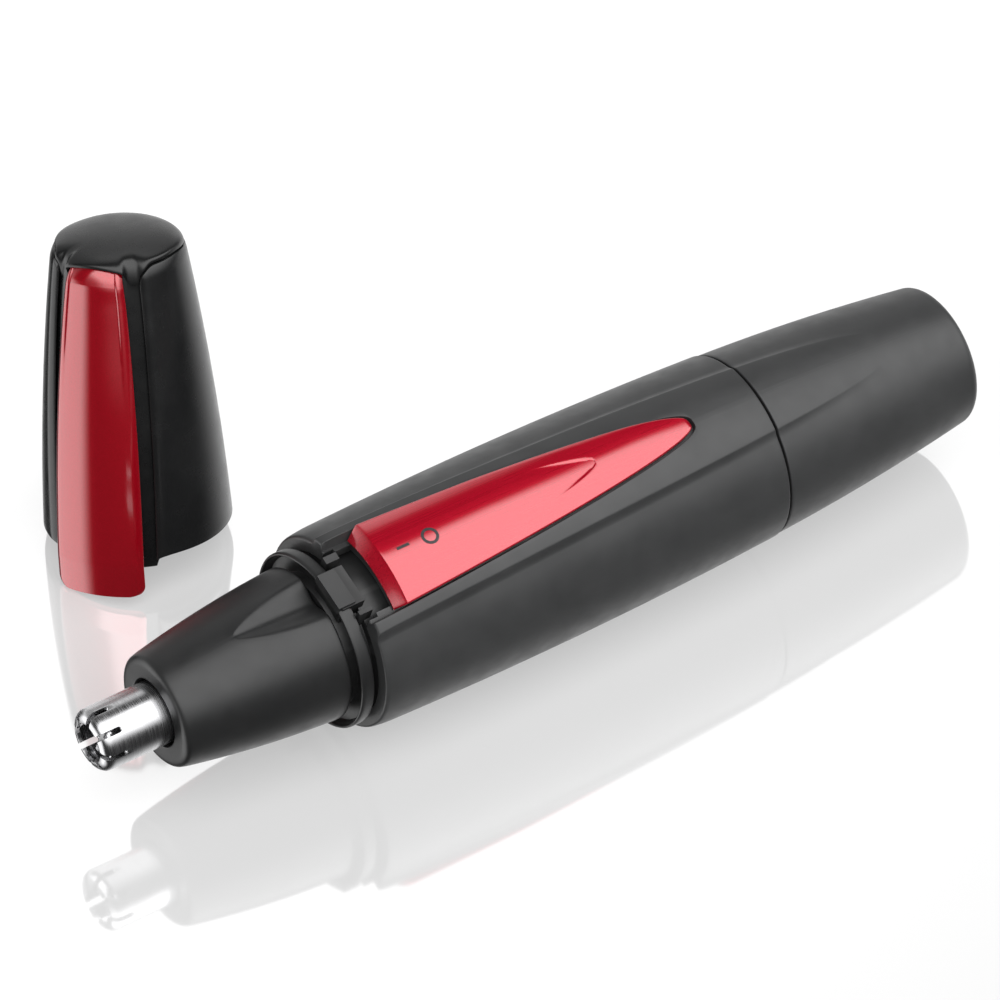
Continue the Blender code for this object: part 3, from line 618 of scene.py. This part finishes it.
def make_housing(looks, place):
    rear = SEAM - SEAM_GAP
    rings = [band_ring(HOUSING_FRONT + along, inset) for along, inset in quarter(0.25, 4)]
    rings += [band_ring(z) for z in spread(36.0, 84.0, 49)]
    rings += [band_ring(z) for z in spread(84.3, 87.1, 15) + [87.2, 87.28, 87.33, 87.36, 87.45]]
    rings += [band_ring(z) for z in spread(88.0, rear - 0.4, 14)]
    rings += [band_ring(rear - along, inset) for along, inset in reversed(quarter(0.18, 4))]
    rings += [bore_ring(z, HOUSING_BORE, z) for z in (rear, 86.0, 71.0, 50.0, HOUSING_FRONT)]
    black = looks["moulded_black"]
    made = ring_solid("front_housing_finished", rings, black, place)
    notch = block("notch", (-5.3, 5.3), (9.5, 14.0), (HOUSING_FRONT - 1.0, 36.7), black, place)
    pocket = block("pocket", (-4.8, 4.8), (9.5, 14.0), (HOUSING_FRONT - 1.0, 39.4), black, place)
    slot = block("slot", (-1.35, 1.35), (9.5, 14.0), (46.6, 54.4), black, place)
    combine(made, "DIFFERENCE", [notch, pocket, slot])
    install(made, "handle", "moulded_black", "front_housing")


def make_cover(looks, place):
    front = SEAM + SEAM_GAP
    rim = [(RIM_START + 1.4 * math.sin(turn), 1.5 * (1.0 - math.cos(turn)))
           for turn in spread(0.0, 0.5 * math.pi, 9)]
    rings = [bore_ring(z, radius, RIM_START) for z, radius in ((REAR_END, 3.0), (REAR_END, 6.0))]
    rings += [band_ring(RIM_START, inset, at) for at, inset in reversed(rim)]
    rings += [band_ring(z) for z in reversed(spread(front + 0.6, RIM_START - 0.3, 54))]
    rings += [band_ring(front + along, inset) for along, inset in reversed(quarter(0.18, 4))]
    bores = [(front, 10.75), (100.0, 10.6), (103.0, 10.4), (109.0, 9.9), (115.0, 9.4), (122.0, 8.7)]
    bores += [(127.4, 8.1), (COVER_FLOOR, 7.4), (COVER_FLOOR, 4.0)]
    rings += [bore_ring(z, radius, min(z, RIM_START)) for z, radius in bores]
    black = looks["moulded_black"]
    made = ring_solid("rear_cover_finished", rings, black, place, (0, 0, REAR_END), (0, 0, COVER_FLOOR))
    install(made, "cover", "moulded_black", "rear_cover")


def cone_radius(z):
    along = z - CONE_SIDE_START
    return CONE_SIDE_RADIUS + CONE_TAPER * along - CONE_CURVE * along * along


def cone_columns(z):
    """Angles round the nose cone with how far across a scoop each one is, or None between the scoops."""
    share = clamp((z - SCOOP_START) / (CONE_REAR - SCOOP_START))
    opening = math.sin(0.5 * math.pi * share ** 0.8)
    half = math.radians(SCOOP_FRONT_DEGREES + SCOOP_ADDED_DEGREES * opening)
    found = []
    for centre in (SCOOP_TILT, SCOOP_TILT + math.pi):
        found += [(centre + half * across, across) for across in spread(-1.0, 1.0, 21)]
        found += [(angle, None) for angle in spread(centre + half, centre + math.pi - half, 43)[1:-1]]
    return found


def cone_ring(z, radius=None, inset=0.0):
    share = clamp((z - SCOOP_START) / (CONE_REAR - SCOOP_START))
    depth = SCOOP_DEPTH * share ** 0.8
    ring = []
    for angle, across in cone_columns(z):
        dip = 0.0 if across is None else depth * (1.0 - across * across) ** 2
        ring.append(polar(angle, (cone_radius(z) - dip - inset) if radius is None else radius, z))
    return ring


def make_cone(looks, place):
    mouth = [(10.6, CONE_BORE), (CONE_FRONT + 0.25, 4.5), (CONE_FRONT + 0.06, 4.65)]
    mouth += [(CONE_FRONT, 4.9), (CONE_FRONT, 6.1), (CONE_FRONT, 6.35)]
    inside = [(CONE_REAR, 8.4), (CONE_REAR - 0.2, 7.95), (20.0, 7.0)]
    inside += [(TUBE_REAR, 6.2), (13.8, 5.9), (13.8, CONE_BORE)]
    rings = [cone_ring(z, radius) for z, radius in mouth]
    rings += [cone_ring(CONE_FRONT + 1.0 - math.cos(turn), 6.4 + 1.15 * math.sin(turn))
              for turn in spread(0.15, 0.5 * math.pi - 0.1, 7)]
    rings += [cone_ring(z) for z in spread(10.8, SCOOP_START, 14) + spread(20.3, 31.4, 40)]
    rings += [cone_ring(CONE_REAR - along, None, inset) for along, inset in reversed(quarter(0.3, 4))]
    rings += [cone_ring(z, radius) for z, radius in inside]
    made = ring_solid("nose_cone_finished", rings, looks["collar_black"], place)
    install(made, "head", "moulded_black", "nose_cone")


def make_collar(looks, place):
    profile = [(28.0, 5.2), (28.0, 7.4), (30.2, 7.4), (30.2, 6.9), (31.6, 6.9), (31.6, 7.4), (32.4, 7.4)]
    profile += [(32.4, 8.8), (33.8, 8.9), (33.8, 11.0), (33.3, 11.2), (32.85, 11.27)]
    profile += [(32.65, 11.36), (32.55, 11.5), (32.58, 11.65), (32.75, 11.77), (33.1, 11.8), (33.9, 11.8)]
    profile += [(34.25, 11.72), (34.4, 11.5), (34.4, 9.7), (35.5, 9.7), (35.6, 10.7), (41.5, 10.7)]
    profile += [(41.5, 3.4), (39.5, 3.4), (39.5, 8.0), (36.5, 8.0), (36.5, 5.2)]
    black = looks["collar_black"]
    made = turned("collar_finished", profile, 160, black, place)
    raised = [block("seat", (-2.75, 2.75), (8.6, 11.9), (33.0, 36.25), black, place)]
    raised.append(block("panel", (-2.6, 2.6), (10.9, 12.3), (32.45, 34.9), black, place))
    raised.append(block("tooth", (-4.6, -3.6), (9.0, 12.0), (34.6, 36.5), black, place))
    raised.append(block("tooth", (3.7, 4.3), (9.0, 11.8), (34.6, 36.5), black, place))
    combine(made, "UNION", raised)
    holes = [turned("hole", [(38.5, 0.0), (38.5, 1.2), (42.5, 1.2), (42.5, 0.0)], 32, black, place)
             for side in (-1.0, 1.0)]
    for side, hole in zip((-1.0, 1.0), holes):
        hole.matrix_world = place @ Matrix.Translation((side * 6.0 * MM, 0.0, 0.0))
    combine(made, "DIFFERENCE", holes)
    soften(made, 0.07, 2, 50.0)
    bake(made)
    install(made, "handle", "moulded_black", "collar")


def slider_columns():
    """Columns over the slider: 0 to 1 cross the thumb mark, 1 to 2 reach the rim and 2 to 3 go over it."""
    half = [0.0, 0.25, 0.5, 0.75, 0.93, 1.0] + [1.06, 1.2, 1.4, 1.6, 1.8, 2.0] + [2.25, 2.5, 2.75, 3.0]
    return [-value for value in reversed(half[1:])] + half


def slider_top(z):
    front = min(1.0, (z - SLIDER_FRONT) / SLIDER_SLANT)
    corner = 0.05 * clamp(1.0 - abs(z - SLIDER_FRONT - SLIDER_SLANT) / 0.2)
    rear = min(1.0, (SLIDER_TIP - z) / SLIDER_FALL_SPAN)
    tip = 0.5 * clamp((z - SLIDER_TIP + 0.7) / 0.7) ** 2
    sunk = 0.5 * max(0.0, (z - SLIDER_SINK_START) / (SLIDER_TIP - SLIDER_SINK_START)) ** 2
    top = SLIDER_TOP - SLIDER_REAR_FALL * (1.0 - rear) - tip - sunk
    return SLIDER_FACE_START + (top - SLIDER_FACE_START) * front - corner


def slider_point(z, column):
    """A point of the slider's visible face, with its thumb mark and its rolled side rim."""
    width = max(0.06, slider_half_width(z))
    rim = min(SLIDER_RIM, 0.45 * width)
    mark = min(0.76 * max(0.05, EMBOSS_TIP - z) ** 0.585, 0.7 * (width - rim))
    middle = -0.25 * clamp((width - mark) / 1.2)
    sunk = EMBOSS_DEPTH * smooth((z - 60.0) / 10.0) * (1.0 if z < EMBOSS_TIP else 0.0)
    side = abs(column)
    drop = 0.0
    if side <= 1.0:
        across = mark * column + middle
        drop = sunk * (1.0 if side < 0.97 else 0.45)
    elif side <= 2.0:
        share = side - 1.0
        across = math.copysign(mark + (width - rim - mark) * share, column) + middle * (1.0 - share)
    else:
        turn = 0.5 * math.pi * (side - 2.0)
        across = math.copysign(width - rim + rim * math.sin(turn), column)
        drop = rim * (1.0 - math.cos(turn))
    return polar(across / SLIDER_TOP, slider_top(z) - drop, z)


def make_slider(looks, place):
    stations = [SLIDER_FRONT, 38.9, 39.4, 39.85, 40.0, 40.1, 40.2, 40.35] + spread(41.0, 71.9, 62)
    stations += [72.06, 72.12, 72.4] + spread(73.0, 83.0, 18) + spread(83.3, 86.6, 17)
    stations += [86.7, 86.8, 86.88, 86.94, 86.98, SLIDER_TIP]

    def seat(z, column):
        x, y, _ = slider_point(z, column)
        scale = SLIDER_FLOOR / math.hypot(x, y)
        return (x * scale, y * scale, z)

    red = looks["red_lacquer"]
    made = plate("slide_switch_finished", stations, slider_columns(), slider_point, seat, red, place)
    post = block("post", (-1.0, 1.0), (10.5, 13.6), (50.0, 54.0), red, place)
    combine(made, "UNION", [post])
    install(made, "switch", "red_lacquer", "slide_switch")


def on_slider(x, z, lift):
    """A point that lies on the slider's top, x across and z along."""
    return polar(x / SLIDER_TOP, slider_top(z) + lift, z)


def make_marks(looks, place):
    """The generic on and off signs: a stroke and a ring of ink."""
    def stroke(z, column):
        return on_slider(ON_MARK_SIDE + ON_MARK_HALF_WIDTH * column, z, MARK_LIFT)

    def under_stroke(z, column):
        return on_slider(ON_MARK_SIDE + ON_MARK_HALF_WIDTH * column, z, MARK_ROOT)

    def ring(radius, lift):
        points = []
        for turn in spread(0.0, TURN, 65)[:-1]:
            side = OFF_MARK_SIDE + radius * math.sin(turn)
            points.append(on_slider(side, OFF_MARK_STATION + radius * math.cos(turn), lift))
        return points

    ink = looks["ink"]
    made = plate("on_mark", spread(42.3, 44.1, 8), spread(-1.0, 1.0, 4), stroke, under_stroke, ink, place)
    install(made, "switch", "red_lacquer")
    inner, middle, outer = 0.78, 0.98, 1.16
    rings = [ring(inner, MARK_ROOT), ring(inner, MARK_LIFT), ring(middle, 0.035)]
    rings += [ring(outer, MARK_LIFT), ring(outer, MARK_ROOT)]
    made = ring_solid("off_mark", rings, ink, place)
    install(made, "switch", "red_lacquer")


def slot_cutter(look, place, turn):
    """A flat bar with a rounded end that cuts two opposite finger slots."""
    half = FINGER_SLOT_HALF_WIDTH
    centre = FINGER_SLOT_REAR - half
    outline = [(-half, -1.0), (half, -1.0)]
    outline += [(half * math.cos(lean), centre + half * math.sin(lean)) for lean in spread(0.0, math.pi, 13)]
    points = [(x, y, z) for y in (-6.0, 6.0) for x, z in outline]
    count = len(outline)
    faces = [tuple(range(count)), tuple(range(2 * count - 1, count - 1, -1))]
    faces += [(k, (k + 1) % count, count + (k + 1) % count, count + k) for k in range(count)]
    return add_mesh("finger_slot", points, faces, look, place @ Matrix.Rotation(turn, 4, "Z"))


def make_tube(looks, place):
    steel = looks["polished_steel"]
    nose = [(TUBE_NOSE * (1.0 - math.sin(turn)), 2.75 + TUBE_NOSE * math.cos(turn))
            for turn in spread(0.5 * math.pi, 0.0, 9)]
    side = [(4.0, TUBE_RADIUS), (8.0, TUBE_RADIUS), (TUBE_FLANGE_FRONT, TUBE_RADIUS)]
    flange = [(TUBE_FLANGE_FRONT, TUBE_FLANGE), (TUBE_REAR, TUBE_FLANGE)]
    bore = [(TUBE_REAR, TUBE_BORE), (8.0, TUBE_BORE), (1.5, TUBE_BORE)]
    mouth = [(0.95, 3.45), (0.6, 3.05), (0.5, 2.65)]
    profile = [(0.0, 2.65)] + nose + side + flange + bore + mouth
    tube = turned("cutter_tube_finished", profile, 144, steel, place)
    step = math.pi / FINGER_SLOT_CUTS
    cutters = [slot_cutter(steel, place, step * (k + 0.5)) for k in range(FINGER_SLOT_CUTS)]
    combine(tube, "DIFFERENCE", cutters)
    soften(tube, 0.05, 2, 45.0)
    bake(tube)
    install(tube, "head", "polished_steel", "cutter_tube")


def make_blade(looks, place):
    steel = looks["polished_steel"]
    hub = [(2.3, 0.0), (2.3, 0.9), (2.5, 1.35), (2.8, 1.5), (7.8, 1.5), (8.0, 1.3), (8.0, 0.0)]
    blade = turned("cutter_blade_finished", hub, 64, steel, place)
    reach = (-VANE_REACH, VANE_REACH)
    thickness = (-VANE_HALF_THICKNESS, VANE_HALF_THICKNESS)
    stations = (1.9, 6.6)
    vanes = [
        block("vane", reach, thickness, stations, steel, place),
        block("vane", thickness, reach, stations, steel, place),
    ]
    combine(blade, "UNION", vanes)
    soften(blade, 0.06, 2, 45.0)
    bake(blade)
    install(blade, "blade", "polished_steel", "cutter_blade")


def make_cell(looks, place):
    pole = [(CELL_FRONT, 0.0), (CELL_FRONT, 2.2), (72.48, 2.5), (72.75, 2.7), (73.5, 2.72)]
    shoulder = [(73.65, 2.9), (73.8, 3.2), (73.8, 6.0), (73.9, 6.35), (74.2, 6.62)]
    can = [(74.6, CELL_CAN_RADIUS), (121.9, CELL_CAN_RADIUS), (122.5, 6.6), (122.9, 6.3)]
    base = [(123.0, 5.9), (122.85, 5.2), (122.85, 0.0)]
    profile = pole + shoulder + can + base
    cell = turned("battery_cell_finished", profile, 96, looks["polished_steel"], place)
    install(cell, "battery", "polished_steel", "battery_cell")
    film = [(74.3, 6.78), (74.35, 7.05), (74.6, 7.2), (75.1, SLEEVE_RADIUS)]
    film += [(121.8, SLEEVE_RADIUS), (122.2, 7.2), (122.4, 7.05), (122.45, 6.85), (122.2, 6.8), (74.6, 6.8)]
    wrapper = turned("battery_wrapper_finished", film, 96, looks["cell_sleeve"], place)
    install(wrapper, "battery", "cell_sleeve", "battery_wrapper")


def make_seal(looks, place):
    profile = [(100.05 + 0.55 * math.cos(turn), 10.02 + 0.28 * math.sin(turn))
               for turn in spread(0.0, TURN, 17)[:-1]]
    seal = turned("cover_seal_finished", profile, 96, looks["rubber"], place)
    install(seal, "handle", "rubber", "cover_seal")


# ---------------------------------------------------------------- cap shapes

def cap_radius(z):
    """The cap tapers in a shallow curve and turns in faster above its shoulder."""
    turned_in = max(0.0, z - CAP_SHOULDER) / 1.5
    return CAP_RIM_RADIUS - CAP_TAPER * z - CAP_CURVE * z * z - 0.35 * turned_in * turned_in


def cap_strip_half_width(z):
    share = clamp((CAP_STRIP_TOP - z) / CAP_STRIP_TOP)
    return CAP_STRIP_TOP_HALF_WIDTH + CAP_STRIP_WIDENING * math.sin(0.5 * math.pi * share ** 0.8)


def cap_strip_radius(z):
    flare = CAP_STRIP_FLARE * clamp(1.0 - z / CAP_STRIP_FLARE_END)
    return cap_radius(max(z, 0.0)) + CAP_STRIP_LIFT + flare


def window_half_angle(z):
    """The opening in the shell leaves a margin beside the strip that widens upwards."""
    return (cap_strip_half_width(z) + WINDOW_MARGIN + clamp(z / 36.0)) / cap_radius(z)


def from_strip(angle):
    """Degrees round the cap from the middle of its strip, 0 to 180."""
    return math.degrees(min(angle, TURN - angle))


def shell_top(angle):
    """The shell's top edge is lower at the back of the cap."""
    return SHELL_TOP - 0.7 * smooth((from_strip(angle) - 80.0) / 50.0)


def shell_corner(angle):
    """How far the shell's top edge is cut down towards the rounded corners of its window."""
    from_window = math.radians(from_strip(angle)) - window_half_angle(CAP_SHOULDER)
    into = clamp(1.0 - from_window * cap_radius(CAP_SHOULDER) / CORNER_WIDTH)
    return CORNER_HEIGHT * (1.0 - math.sqrt(1.0 - into * into))


def shell_foot(angle):
    """The shell's bottom edge dips towards the window."""
    return SHELL_FOOT - 0.75 * math.exp(-max(0.0, from_strip(angle) - CAP_EAR_DEGREES) / 3.5)


def liner_foot(angle):
    """The liner shows just below the shell, and has an ear on each side of the strip."""
    beyond_ear = smooth((from_strip(angle) - CAP_EAR_DEGREES) / 2.0)
    return beyond_ear * (shell_foot(angle) - 0.35 + EAR_DROP) - EAR_DROP


def make_cap_liner(looks, place):
    """The inner cap: a thin dome that laps over the shell's top, and shows as a sunk band in the window."""
    angles = [TURN * k / 180 for k in range(180)]

    def dome_rim(angle):
        """Height and radius of the dome's lower edge, and how far it is set back to meet the sunk band."""
        degrees = from_strip(angle)
        share = min(1.0, degrees / DOME_LAP_DEGREES)
        over_strip = CAP_STRIP_TOP + 0.15 - CAP_STRIP_ARCH * share * share
        over_shell = shell_top(angle) + 0.25 - shell_corner(angle)
        rim = over_strip + (over_shell - over_strip) * smooth((degrees - DOME_LAP_DEGREES) / 10.0)
        beside_strip = smooth((degrees - 27.0) / 5.0) * smooth((50.0 - degrees) / 10.0)
        return rim, cap_radius(rim), LINER_SINK * beside_strip

    def dome(turn):
        """A ring of the dome, which follows its uneven edge only close to that edge."""
        made = []
        around = math.sin(turn)
        crown = DOME_BASE + (CAP_HEIGHT - DOME_BASE) * math.cos(turn) ** 0.75
        base_radius = cap_radius(DOME_BASE)
        near_edge = around ** 12
        for angle in angles:
            rim, radius, set_back = dome_rim(angle)
            reach = base_radius * around
            reach += (radius - base_radius - set_back) * near_edge
            made.append(polar(angle, reach, crown - (DOME_BASE - rim) * near_edge))
        return made

    def under_rim(below, inset):
        made = []
        for angle in angles:
            rim, radius, set_back = dome_rim(angle)
            made.append(polar(angle, radius - max(inset, set_back), rim - below))
        return made

    def skirt(z, inset):
        return [polar(angle, cap_radius(z) - inset, z) for angle in angles]

    def foot(lift, inset):
        return [polar(angle, cap_radius(0.0) - inset, liner_foot(angle) + lift) for angle in angles]

    inner = LINER_SINK + LINER_WALL
    rings = [dome(turn) for turn in spread(0.06, 0.5 * math.pi - 0.02, 22)]
    rings += [under_rim(0.0, 0.0), under_rim(0.04, 0.1), under_rim(0.05, LINER_SINK)]
    rings += [skirt(z, LINER_SINK) for z in spread(36.0, 2.0, 36)]
    rings += [foot(0.15, LINER_SINK), foot(0.0, LINER_SINK + 0.12)]
    rings += [foot(0.0, inner - 0.12), foot(0.15, inner)]
    rings += [skirt(z, inner) for z in (3.0, 10.0, 16.0, 21.0, 27.0, 32.0, 35.0)]
    ceiling = ((36.8, 7.6), (37.9, 6.4), (38.5, 4.0))
    rings += [[polar(angle, radius, z) for angle in angles] for z, radius in ceiling]
    dark = looks["moulded_dark"]
    made = ring_solid("cap_liner_finished", rings, dark, place, (0, 0, CAP_HEIGHT), (0, 0, 38.7))
    install(made, "cap", "moulded_dark", "cap_liner")


def make_cap_shell(looks, place):
    """The outer skirt, open at the strip, with rolled edges and rounded corners at the window."""
    roll = 1.5
    way_round = 57.0

    def from_edge(column):
        """Distance round the cap from the nearer edge of the window."""
        return (1.0 - abs(2.0 * column - 1.0)) * 0.5 * way_round

    def angle_at(z, column):
        half = window_half_angle(z)
        return half + (TURN - 2.0 * half) * column

    def at(share, column, inset):
        edge = angle_at(CAP_SHOULDER, column)
        top = shell_top(edge) - shell_corner(edge)
        low = shell_foot(angle_at(0.0, column))
        z = low + (top - low) * share
        return polar(angle_at(z, column), cap_radius(z) - inset, z)

    def outer(share, column):
        return at(share, column, 0.58 * clamp(1.0 - from_edge(column) / roll) ** 2)

    def inner(share, column):
        return at(share, column, SHELL_WALL)

    edge = [0.0, 0.0015, 0.004, 0.007, 0.010, 0.014, 0.018, 0.023, 0.028, 0.034, 0.040]
    columns = edge + spread(0.048, 0.952, 108) + [1.0 - value for value in reversed(edge)]
    rows = spread(0.0, 0.9, 40) + spread(0.91, 1.0, 16)
    black = looks["deep_moulded_black"]
    made = plate("cap_shell_finished", rows, columns, outer, inner, black, place)
    soften(made, 0.12, 3, 50.0)
    bake(made)
    install(made, "cap", "moulded_black", "cap_shell")


def make_cap_strip(looks, place):
    """The coloured strip, whose tongue stands below the cap's rim and seats in front of the slider."""
    def half_angle(z):
        into = clamp((TONGUE_CORNER - TONGUE - z) / TONGUE_CORNER)
        narrowed = TONGUE_CORNER * (1.0 - math.sqrt(1.0 - into * into))
        return (cap_strip_half_width(max(z, 0.0)) - narrowed) / cap_strip_radius(z)

    def arch(z, side):
        return CAP_STRIP_ARCH * side * side * smooth((z - 34.0) / 5.0)

    def outer(z, column):
        facet = 0.3 * clamp((z - CAP_FACET_START) / (CAP_STRIP_TOP - CAP_FACET_START))
        side = abs(column)
        rim = CAP_STRIP_RIM * clamp((side - 0.86) / 0.14) ** 1.4
        pressed = 0.16 * smooth((z - 20.0) / 12.0) * clamp((0.80 - side) / 0.06)
        return polar(column * half_angle(z), cap_strip_radius(z) - facet - rim - pressed, z - arch(z, side))

    def inner(z, column):
        seat = 12.8 if z < 0.01 else cap_radius(z) - SHELL_WALL
        return polar(column * half_angle(z), seat, z - arch(z, abs(column)))

    stations = [0.12 * k - TONGUE for k in range(13)] + spread(-2.8, -0.3, 8) + [0.0, 0.15]
    stations += spread(0.6, CAP_FACET_START, 60) + spread(CAP_FACET_START + 0.1, CAP_STRIP_TOP, 6)
    half = spread(0.0, 0.72, 9) + [0.74, 0.76, 0.78, 0.80, 0.83, 0.86, 0.89, 0.92, 0.96, 1.0]
    columns = [-value for value in reversed(half[1:])] + half
    made = plate("cap_strip_finished", stations, columns, outer, inner, looks["cap_red_lacquer"], place)
    soften(made, 0.12, 3, 50.0)
    bake(made)
    install(made, "cap", "red_lacquer", "cap_strip")


# ---------------------------------------------------------------- carried-over pieces

def dress_frame_nodes(looks):
    """Give every CAD node that still shows its procedural material and softly rounded edges."""
    slots = {part["node"]: part["material_slot"] for part in frame["record"]["subparts"]}
    for name, node in frame["nodes"].items():
        if node.hide_render:
            continue
        node.data.materials.clear()
        node.data.materials.append(looks[slots[name]])
        weld = node.modifiers.new("joined_edges", "WELD")
        weld.merge_threshold = 0.000001
        soften(node, 0.08, 2, 35.0)
        step = node.modifiers.new("face_weighted_normals", "WEIGHTED_NORMAL")
        step.keep_sharp = False


# ---------------------------------------------------------------- studio

def make_floor():
    """A plain white glossy table, lit from below so that it keeps no deep shadows."""
    look = Look("table")
    clouds = look.noise(6.0, 2.0)
    look.colour(look.mixed(look.ranged(clouds, 0.0, 1.0), (0.30, 0.30, 0.30), (0.31, 0.31, 0.31)))
    look.roughness(look.ranged(look.noise(30.0, 2.0), 0.05, 0.07))
    look.set(ior=3.7, emission_color=(1.0, 1.0, 1.0, 1.0), emission_strength=0.45)
    half = TABLE_HALF_WIDTH
    level = CAD_BOX[0].z - TABLE_DROP
    corners = [(-half, -half, level), (half, -half, level), (half, half, level), (-half, half, level)]
    mesh = bpy.data.meshes.new("table")
    mesh.from_pydata(corners, [], [(0, 1, 2, 3)])
    mesh.materials.append(look.material)
    floor = bpy.data.objects.new("table", mesh)
    bpy.context.scene.collection.objects.link(floor)
    floor.visible_glossy = False


def make_world():
    """A white tent: bright above the front, dim overhead at the back, and bright low down behind.

    Each patch of light fades between two components of the direction that is looked in, and what
    the camera sees directly is plain white.
    """
    world = bpy.data.worlds.new("studio")
    bpy.context.scene.world = world
    world.use_nodes = True
    tree = world.node_tree
    shine = tree.nodes["Background"]

    def ranged(source, start, stop, low, high):
        made = tree.nodes.new("ShaderNodeMapRange")
        made.interpolation_type = "SMOOTHSTEP"
        for name, number in (("From Min", start), ("From Max", stop), ("To Min", low), ("To Max", high)):
            made.inputs[name].default_value = number
        tree.links.new(source, made.inputs["Value"])
        return made.outputs["Result"]

    def joined(operation, first, second):
        made = tree.nodes.new("ShaderNodeMath")
        made.operation = operation
        for socket, value in zip(made.inputs, (first, second)):
            if isinstance(value, float):
                socket.default_value = value
            else:
                tree.links.new(value, socket)
        return made.outputs[0]

    coordinates = tree.nodes.new("ShaderNodeTexCoord")
    axes = tree.nodes.new("ShaderNodeSeparateXYZ")
    tree.links.new(coordinates.outputs["Generated"], axes.inputs["Vector"])
    x = axes.outputs["X"]
    y = axes.outputs["Y"]
    z = axes.outputs["Z"]
    front_box = joined("MULTIPLY", ranged(y, -0.02, 0.12, 2.7, 0.0), ranged(z, 0.0, 0.62, 0.0, 1.0))
    front_box = joined("MULTIPLY", front_box, ranged(x, -0.95, -0.75, 0.25, 1.0))
    left_box = joined("MULTIPLY", ranged(y, -0.20, 0.06, 0.0, 2.2), ranged(z, -0.05, 0.10, 1.0, 0.0))
    left_box = joined("MULTIPLY", left_box, ranged(x, -0.60, -0.30, 1.0, 0.0))
    table_back = joined("MULTIPLY", ranged(y, -0.70, 0.15, 0.0, 1.0), ranged(z, -0.06, 0.04, 1.0, 0.0))
    table_back = joined("MULTIPLY", table_back, ranged(x, -0.10, 0.40, 0.0, 1.0))
    back_wall = joined("MULTIPLY", ranged(y, 0.40, 0.66, 0.0, 1.15), ranged(z, -0.04, 0.04, 0.0, 1.0))
    low_strip = ranged(z, 0.05, 0.30, 1.0, 0.35)
    high_panel = joined("MULTIPLY", ranged(x, 0.22, 0.36, 0.0, 0.65), ranged(z, 0.45, 0.57, 0.0, 1.0))
    back_wall = joined("MULTIPLY", back_wall, joined("ADD", low_strip, high_panel))
    boxes = joined("ADD", front_box, left_box)
    total = joined("ADD", joined("ADD", boxes, table_back), joined("ADD", back_wall, 0.04))
    path = tree.nodes.new("ShaderNodeLightPath")
    seen = tree.nodes.new("ShaderNodeMix")
    seen.data_type = "FLOAT"
    tree.links.new(path.outputs["Is Camera Ray"], seen.inputs["Factor"])
    tree.links.new(total, seen.inputs["A"])
    seen.inputs["B"].default_value = 1.0
    tree.links.new(seen.outputs["Result"], shine.inputs["Strength"])
    shine.inputs["Color"].default_value = (1.0, 1.0, 1.0, 1.0)


def make_camera():
    across = Vector((math.sin(CAMERA_HEADING), math.cos(CAMERA_HEADING), 0.0))
    back = Vector((0.0, 0.0, math.sin(CAMERA_ELEVATION))) - across * math.cos(CAMERA_ELEVATION)
    data = bpy.data.cameras.new("camera")
    data.lens = CAMERA_LENS
    data.sensor_width = 36.0
    data.clip_start = 0.01
    data.clip_end = 20.0
    camera = bpy.data.objects.new("camera", data)
    camera.location = CAMERA_TARGET + back * CAMERA_DISTANCE
    camera.rotation_mode = "QUATERNION"
    camera.rotation_quaternion = (-back).to_track_quat("-Z", "Y")
    bpy.context.scene.collection.objects.link(camera)
    bpy.context.scene.camera = camera


def main():
    handle = handle_place()
    cap = cap_place()
    looks = make_looks(handle, cap)
    make_tube(looks, handle)
    make_blade(looks, handle)
    make_cone(looks, handle)
    make_collar(looks, handle)
    make_housing(looks, handle)
    make_slider(looks, handle)
    make_marks(looks, handle)
    make_cell(looks, handle)
    make_seal(looks, handle)
    make_cover(looks, handle)
    make_cap_liner(looks, cap)
    make_cap_shell(looks, cap)
    make_cap_strip(looks, cap)
    dress_frame_nodes(looks)
    make_floor()
    make_world()
    make_camera()
    bpy.context.scene.view_settings.view_transform = "Standard"


main()
